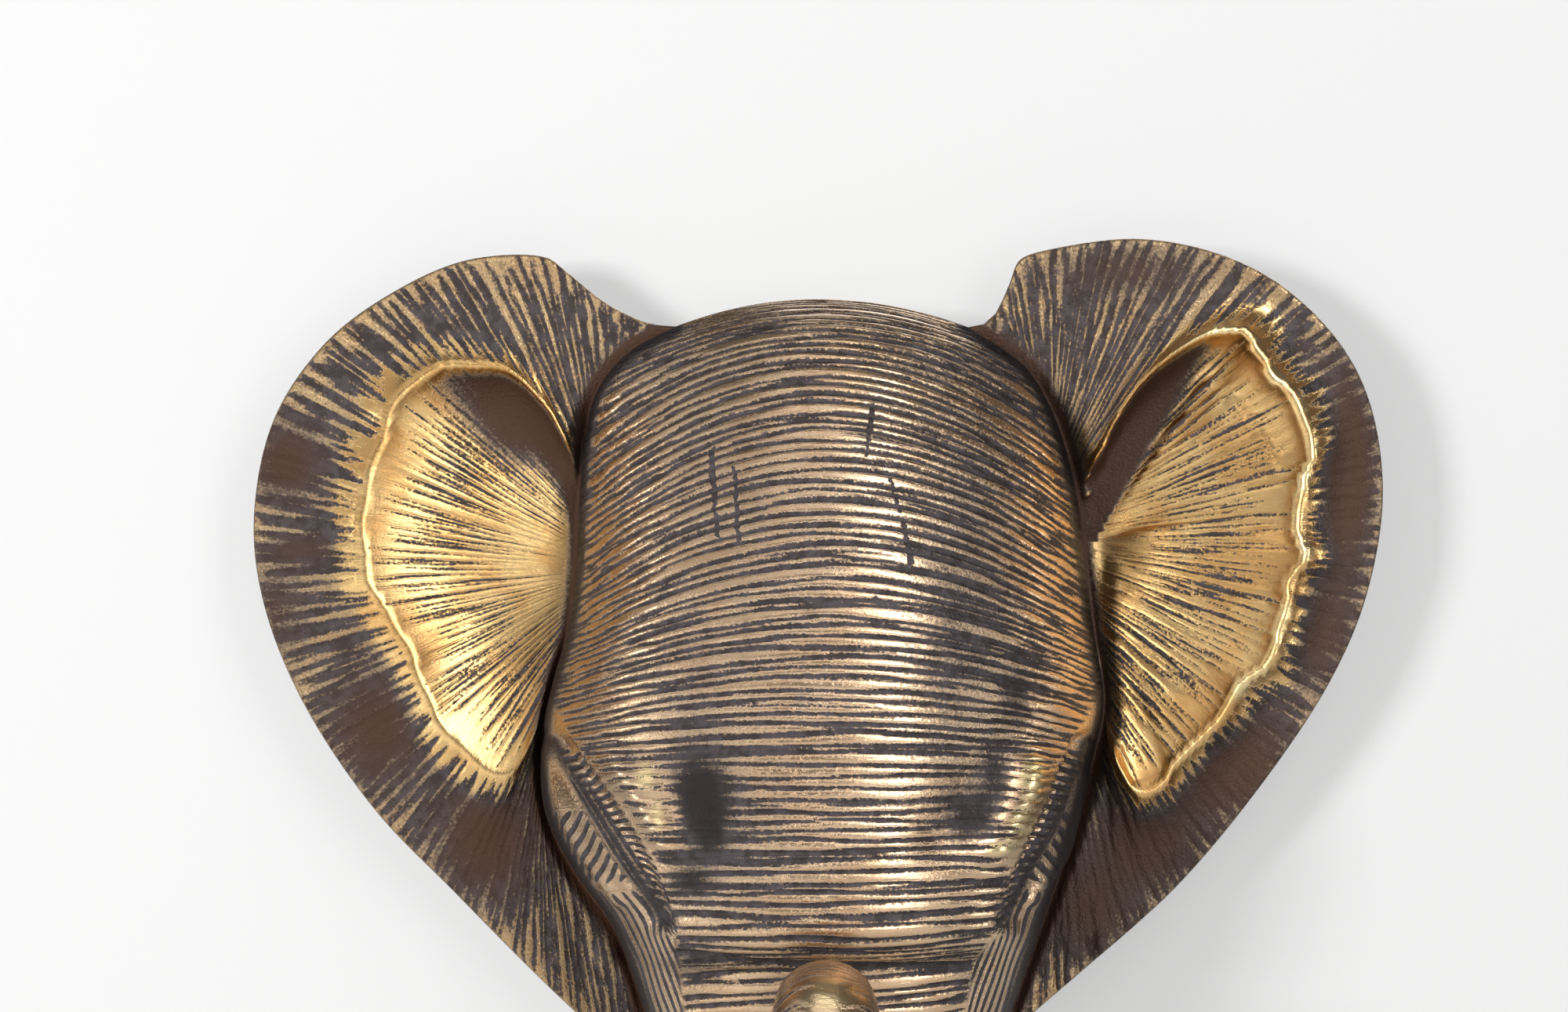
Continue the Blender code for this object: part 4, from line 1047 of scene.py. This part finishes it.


# Colours of the brass, each pair warmer and redder in blotches; lighter brass for painted highlights and
# darker brass for tarnish and painted shade; and of the patina in its cuts, darker still under stains and
# painted shade
HEAD_BRASS = ((0.72, 0.52, 0.34, 1), (0.66, 0.45, 0.28, 1))
EAR_BRASS = ((0.80, 0.54, 0.24, 1), (0.71, 0.42, 0.16, 1))
PAINTED_HIGHLIGHT_BRASS = (0.97, 0.78, 0.42, 1)
TARNISH_AND_SHADE_BRASS = (0.36, 0.27, 0.18, 1)
PATINA = ((0.030, 0.024, 0.024, 1), (0.055, 0.046, 0.050, 1))
HEAD_PATINA_AND_SHADE = (0.016, 0.012, 0.012, 1)
EAR_PATINA_AND_SHADE = (0.050, 0.024, 0.014, 1)
SCRATCH_JITTER = 14.0
BUMP_DEPTH = 0.5 * MILLIMETRE


def aged_brass():
    """Worn brass crests over rough cuts filled with blue-black patina, dark brown patina and painted shade in
    the deep places, and painted highlights on the brow, lips and bowls.
    """
    nodes = Nodes("aged_brass")
    place = nodes.add("ShaderNodeTexCoord").outputs["Object"]
    groove, stain_and_painted_light = nodes.attribute("groove"), nodes.attribute("stain_and_painted_light")
    flow, view = nodes.attribute("flow", "Vector"), nodes.attribute("view", "Vector")
    on_ear = nodes.spread(nodes.add("ShaderNodeSeparateXYZ", {0: flow}).outputs["Z"], 10.0, 40.0)
    stretched = nodes.add("ShaderNodeMapping", {"Vector": flow, "Scale": (1.6, 0.22, 1.0)}).outputs[0]
    streaks = nodes.noise(stretched, 1.0, 4.0, 0.65)
    pits = nodes.noise(place, 1300.0, 3.0, 0.6)
    blotches = nodes.noise(place, 60.0, 4.0, 0.6)

    lashes, lashed = nodes.fine_cuts("lashes", 1.8)
    lines, lined = nodes.fine_cuts("lines", 2.2)
    fine = nodes.math("MAXIMUM", lashes, lines)
    groove = nodes.math("MAXIMUM", groove, fine)
    jitter = nodes.add("ShaderNodeTexNoise", {"Vector": view, "Scale": 0.09, "Detail": 3.0}).outputs["Color"]
    jitter = nodes.vector("SCALE", nodes.vector("SUBTRACT", jitter, (0.5, 0.5, 0.5)), scale=SCRATCH_JITTER)
    ragged_view = nodes.vector("ADD", view, jitter)
    for start, end, width in SCRATCHES:
        groove = nodes.math("MAXIMUM", groove, nodes.scratch(ragged_view, start, end, width))
    ragged = nodes.scaled(streaks, 0.7, -0.35)
    grain = nodes.scaled(pits, 1.1, -0.55)
    smoothed = nodes.math("SUBTRACT", groove, nodes.math("MAXIMUM", lashed, lined))
    rougher = nodes.spread(smoothed, 0.0, 0.4, 0.4, 1.1)
    grain = nodes.math("MULTIPLY", nodes.math("ADD", grain, ragged), rougher)
    level = nodes.math("ADD", nodes.math("ADD", groove, grain), stain_and_painted_light)
    level = nodes.math("ADD", level, nodes.spread(on_ear, 0.0, 1.0, HEAD_TARNISH, 0.0))
    dark = nodes.spread(level, 0.10, 0.42)

    warm = nodes.spread(blotches, 0.42, 0.62)
    crest = nodes.mix(on_ear, nodes.mix(warm, *HEAD_BRASS), nodes.mix(warm, *EAR_BRASS))
    # Negative amounts turn the crests to painted highlight, positive ones to tarnish and painted shade
    crest = nodes.mix(nodes.spread(stain_and_painted_light, -0.12, -0.38), crest, PAINTED_HIGHLIGHT_BRASS)
    crest = nodes.mix(nodes.spread(stain_and_painted_light, 0.03, 0.32), crest, TARNISH_AND_SHADE_BRASS)
    shade = nodes.spread(nodes.noise(place, 300.0, 3.0), 0.4, 0.6)
    # Under stains and painted shade the patina turns darker still
    stained_and_shaded = nodes.mix(on_ear, HEAD_PATINA_AND_SHADE, EAR_PATINA_AND_SHADE)
    patina = nodes.mix(nodes.spread(stain_and_painted_light, 0.1, 0.5), nodes.mix(shade, *PATINA), stained_and_shaded)
    colour = nodes.mix(dark, crest, patina)

    rough = nodes.math("ADD", nodes.scaled(dark, 0.24, 0.20), nodes.math("MULTIPLY", pits, 0.10))
    metal = nodes.scaled(dark, -0.45, 1.0)

    deep_pits = nodes.scaled(dark, 1.6, 0.15)
    relief = nodes.math("ADD", nodes.math("MULTIPLY", streaks, 0.5), nodes.math("MULTIPLY", pits, deep_pits))
    relief = nodes.math("SUBTRACT", relief, nodes.math("MULTIPLY", fine, 1.2))
    bump = nodes.add("ShaderNodeBump", {"Strength": 0.5, "Distance": BUMP_DEPTH, "Height": relief})
    return nodes.finish("ShaderNodeBsdfPrincipled", {"Base Color": colour, "Metallic": metal,
                                                     "Roughness": rough, "Normal": bump.outputs[0]})


# Broad dark patches: stains of the ears' flanges, and painted shade on the head, down its flanks, in the
# hollows beside the brows, at its top and at the fold's ends: place, spread and strength
STAINS_AND_PAINTED_SHADE = [
    ((365, 590), (42, 44), 0.30), ((385, 700), (50, 18), 0.18), ((350, 780), (40, 60), 0.15),
    ((480, 930), (60, 70), 0.26), ((620, 1070), (60, 70), 0.30), ((1715, 600), (34, 110), 0.42),
    ((1680, 800), (45, 70), 0.25), ((1560, 970), (80, 70), 0.34), ((1460, 1070), (60, 60), 0.34),
    ((1390, 1160), (50, 60), 0.28), ((1650, 470), (30, 30), 0.20), ((1440, 345), (90, 30), 0.16),
    ((1250, 470), (60, 30), 0.12), ((830, 470), (50, 30), 0.12), ((940, 1060), (110, 130), 0.11),
    ((1260, 760), (55, 220), 0.15), ((885, 930), (50, 220), 0.12), ((1205, 850), (42, 230), 0.15),
    ((880, 1235), (40, 40), 0.16), ((1235, 1235), (30, 40), 0.16), ((893, 1012), (36, 42), 0.38),
    ((905, 1064), (18, 30), 0.28), ((880, 1124), (26, 18), 0.28), ((1240, 1042), (32, 34), 0.36),
    ((1270, 985), (20, 38), 0.30), ((1298, 890), (20, 40), 0.20)]
# Painted highlights on the brow's crests and the trunk's tip, in the same way
PAINTED_HIGHLIGHTS = [
    ((822, 990), (18, 26), 0.42), ((843, 1040), (18, 34), 0.46), ((1318, 990), (20, 36), 0.46),
    ((1302, 1050), (22, 26), 0.42), ((1272, 1082), (24, 13), 0.42), ((1055, 1268), (48, 36), 0.30)]
# Strengths of what is laid on: patina and painted shade along the valleys and eyes, painted shadow in the
# ears' crescents, tarnish and painted shade on the flanges, polish and painted highlight on the right lip,
# painted highlight in the bowls, and the head's tarnish
VALLEY_PATINA_AND_SHADE = 0.55
CRESCENT_PAINTED_SHADOW = 0.5
FLANGE_TARNISH_AND_SHADE = 0.19
LIP_POLISH_AND_HIGHLIGHT = 0.4
EYE_PATINA_AND_SHADE = 0.32
PATINA_AND_SHADE_WIDTH = 11.0
HEAD_TARNISH = 0.05
BOWL_PAINTED_HIGHLIGHT = 0.14


def view_place(points):
    """Where millimetre points of the part's frame are seen in the front view."""
    rise = BAR_BACK - points[:, 1]
    spread = VIEW_UNIT * (VIEW_DISTANCE - rise) / (VIEW_DISTANCE - EAR_LEVEL)
    x = (points[:, 0] - CENTRE_X) / spread + VIEW_CENTRE[0]
    return x, VIEW_CENTRE[1] - (points[:, 2] - CENTRE_Z) / spread


# Each point's amount: positive for stains, patina, tarnish, painted shade and painted shadow, negative for
# painted highlights and the lip's polish
def stains_and_painted_light(points):
    x, y = view_place(points)
    amount = np.zeros(len(points))
    for patches, sign in ((STAINS_AND_PAINTED_SHADE, 1), (PAINTED_HIGHLIGHTS, -1)):
        for place, spread, strength in patches:
            amount += sign * strength * swell(x, y, place, spread)
    for side in (LEFT, RIGHT):
        gap, _ = beside(side.valley[::16], x, y)
        _, toward, radius, lip_radius = side.bearings(x, y)
        share = radius / lip_radius
        # Patina and painted shade along each valley
        amount += VALLEY_PATINA_AND_SHADE * bell(gap / PATINA_AND_SHADE_WIDTH)
        # Painted shadow in the crescent under the lip's overhang
        amount += CRESCENT_PAINTED_SHADOW * side.crescent(toward, share)
        # Painted highlight in the bowl, away from the valley and the crescent
        painted_bowl_highlight = ease((1.1 - share) / 0.2) * ease((np.abs(gap) - 20) / 30)
        amount -= BOWL_PAINTED_HIGHLIGHT * (painted_bowl_highlight * (1 - side.crescent(toward, share)))
        # Tarnish and painted shade over the flange
        amount += FLANGE_TARNISH_AND_SHADE * ease((share - 1.08) / 0.1) * (gap * side.outward > 0)
        # Polish and painted highlight along the right ear's lip
        if side is RIGHT:
            uneven = 0.6 + 0.25 * np.sin(toward * 17 + 1) + 0.15 * np.sin(toward * 41)
            amount -= LIP_POLISH_AND_HIGHLIGHT * bell((share - 1.02) / 0.055) * uneven * ease((toward + 1.5) / 0.5)
    # Patina and painted shade along each eye
    for eye in (LEFT_EYE, RIGHT_EYE):
        gap, share = beside(eye, x, y)
        amount += EYE_PATINA_AND_SHADE * bell(gap / PATINA_AND_SHADE_WIDTH) * between(share, -0.01, 1.01, 0.05)
    return amount


def placed(name, data):
    """A new object in the scene."""
    thing = bpy.data.objects.new(name, data)
    bpy.context.scene.collection.objects.link(thing)
    return thing


def sculpture():
    skin = casting()
    points = np.array(skin.points)
    marks = np.array(skin.marks)
    mesh = bpy.data.meshes.new("elephant_head_brass")
    mesh.from_pydata([tuple(p) for p in points * MILLIMETRE], [], skin.faces)
    unseen = np.isin(marks[:, 0], (BACK_GROOVE, HOLLOW_GROOVE))
    nothing = 0 * marks[:, 0]
    for name, values in (("groove", marks[:, 0]), ("flow", marks[:, 1:4]),
                         ("lashes", np.column_stack([marks[:, 4:6], nothing])),
                         ("lines", np.column_stack([marks[:, 6:8], nothing])),
                         ("stain_and_painted_light", np.where(unseen, 0, stains_and_painted_light(points))),
                         ("view", np.column_stack([*view_place(points), 0 * points[:, 0]]))):
        kind, key = ("FLOAT", "value") if values.ndim == 1 else ("FLOAT_VECTOR", "vector")
        mesh.attributes.new(name, kind, "POINT").data.foreach_set(key, values.astype(np.float32).ravel())
    build = bmesh.new()
    build.from_mesh(mesh)
    bmesh.ops.recalc_face_normals(build, faces=build.faces[:])
    build.to_mesh(mesh)
    build.free()
    mesh.shade_smooth()
    mesh.materials.append(aged_brass())
    head = placed("elephant_head_brass", mesh)
    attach(head, "root")
    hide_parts("elephant_head")


def plain(name, colour):
    nodes = Nodes(name)
    return nodes.finish("ShaderNodeBsdfPrincipled", {"Base Color": colour, "Roughness": 0.8})


def one_sided(name, colour, glow):
    """A wall that shows from its front alone, so that the sculpture's back can be looked at."""
    nodes = Nodes(name)
    back = nodes.add("ShaderNodeNewGeometry").outputs["Backfacing"]
    inputs = {"Base Color": colour, "Roughness": 1.0, "Emission Color": GLOW_WHITE, "Emission Strength": glow}
    shader = nodes.add("ShaderNodeBsdfPrincipled", inputs)
    clear = nodes.add("ShaderNodeBsdfTransparent")
    return nodes.finish("ShaderNodeMixShader", {0: back, 1: shader.outputs[0], 2: clear.outputs[0]})


def rectangle(name, corners, material):
    mesh = bpy.data.meshes.new(name)
    mesh.from_pydata(corners, [], [(0, 1, 2, 3)])
    mesh.materials.append(material)
    sheet = placed(name, mesh)
    return sheet


# The room, in metres: its half width, the floor's level and the wall's top
ROOM_REACH = 3
FLOOR_LEVEL = -0.42
WALL_TOP = 2.5
WALL_GAP = 0.5
WALL_GREY = (0.18, 0.18, 0.18, 1)
WALL_GLOW = 0.44
GLOW_WHITE = (1, 1, 1, 1)
FLOOR_GREY = (0.50, 0.50, 0.49, 1)


def room():
    wall_y = (BAR_BACK + WALL_GAP) * MILLIMETRE
    square = [(-1, -1), (1, -1), (1, 1), (-1, 1)]
    corners = [(x * ROOM_REACH, wall_y, FLOOR_LEVEL if z < 0 else WALL_TOP) for x, z in square]
    wall = rectangle("wall", corners, one_sided("wall_white", WALL_GREY, WALL_GLOW))
    for flag in ("visible_diffuse", "visible_glossy", "visible_transmission", "visible_shadow"):
        setattr(wall, flag, False)
    corners = [(x * ROOM_REACH, y * ROOM_REACH, FLOOR_LEVEL) for x, y in square]
    rectangle("floor", corners, plain("floor_pale", FLOOR_GREY))


# Soft lights: bearing to the right of the camera's line and lift above it in degrees, distance, size in
# metres, power, and whether reflections show them
LIGHTS = {"window_right": (34, 20, 1.4, (0.9, 1.6), 6.5, True),
          "window_core": (29, 22, 1.4, (0.28, 1.5), 9.0, True),
          "panel_left": (-62, 28, 1.8, (3.0, 1.6), 8.0, True),
          "panel_front": (-5, 40, 1.6, (1.2, 1.0), 2.4, True),
          "overhead": (-10, 74, 1.4, (1.0, 0.4), 2.0, True),
          "low_front_left": (-29, -20, 1.4, (0.36, 0.25), 0.7, True),
          "low_left": (-84, -5, 1.4, (0.3, 0.2), 2.4, True),
          "low_right": (90, -4, 1.4, (0.3, 0.2), 2.4, True),
          "shadow_maker": (-45, 9, 2.2, (0.5, 0.5), 96.0, False),
          "wall_wash": (0, 30, 2.6, (3.0, 2.0), 12.0, False),
          "back_fill": (160, 25, 1.6, (1.2, 1.2), 8.0, True)}
LIT_MIDDLE = Vector((0.0, -0.04, -0.06))
AIR_COLOUR = (0.95, 0.92, 0.90, 1)
AIR_STRENGTH = 0.12


def lights():
    for name, (bearing, lift, distance, size, energy, in_reflections) in LIGHTS.items():
        turn, up = math.radians(bearing), math.radians(lift)
        away = Vector((math.sin(turn) * math.cos(up), -math.cos(turn) * math.cos(up), math.sin(up)))
        light = bpy.data.lights.new(name, "AREA")
        light.shape = "RECTANGLE"
        light.size, light.size_y = size
        light.energy = energy
        box = placed(name, light)
        box.location = LIT_MIDDLE + away * distance
        box.rotation_euler = away.to_track_quat("Z", "Y").to_euler()
        box.visible_glossy = in_reflections
    world = bpy.data.worlds.new("studio")
    bpy.context.scene.world = world
    world.use_nodes = True
    background = world.node_tree.nodes["Background"]
    background.inputs["Color"].default_value = AIR_COLOUR
    background.inputs["Strength"].default_value = AIR_STRENGTH
    bpy.context.scene.view_settings.view_transform = "Standard"


def camera():
    lens = bpy.data.cameras.new("camera")
    eye = placed("camera", lens)
    eye.location = [place * MILLIMETRE for place in (CENTRE_X, BAR_BACK - VIEW_DISTANCE, CENTRE_Z)]
    eye.rotation_euler = (math.pi / 2, 0, 0)
    lens.sensor_width = SENSOR_WIDTH
    lens.lens = SENSOR_WIDTH * (VIEW_DISTANCE - EAR_LEVEL) / (VIEW_WIDTH * VIEW_UNIT)
    bpy.context.scene.camera = eye


camera()
room()
lights()
sculpture()
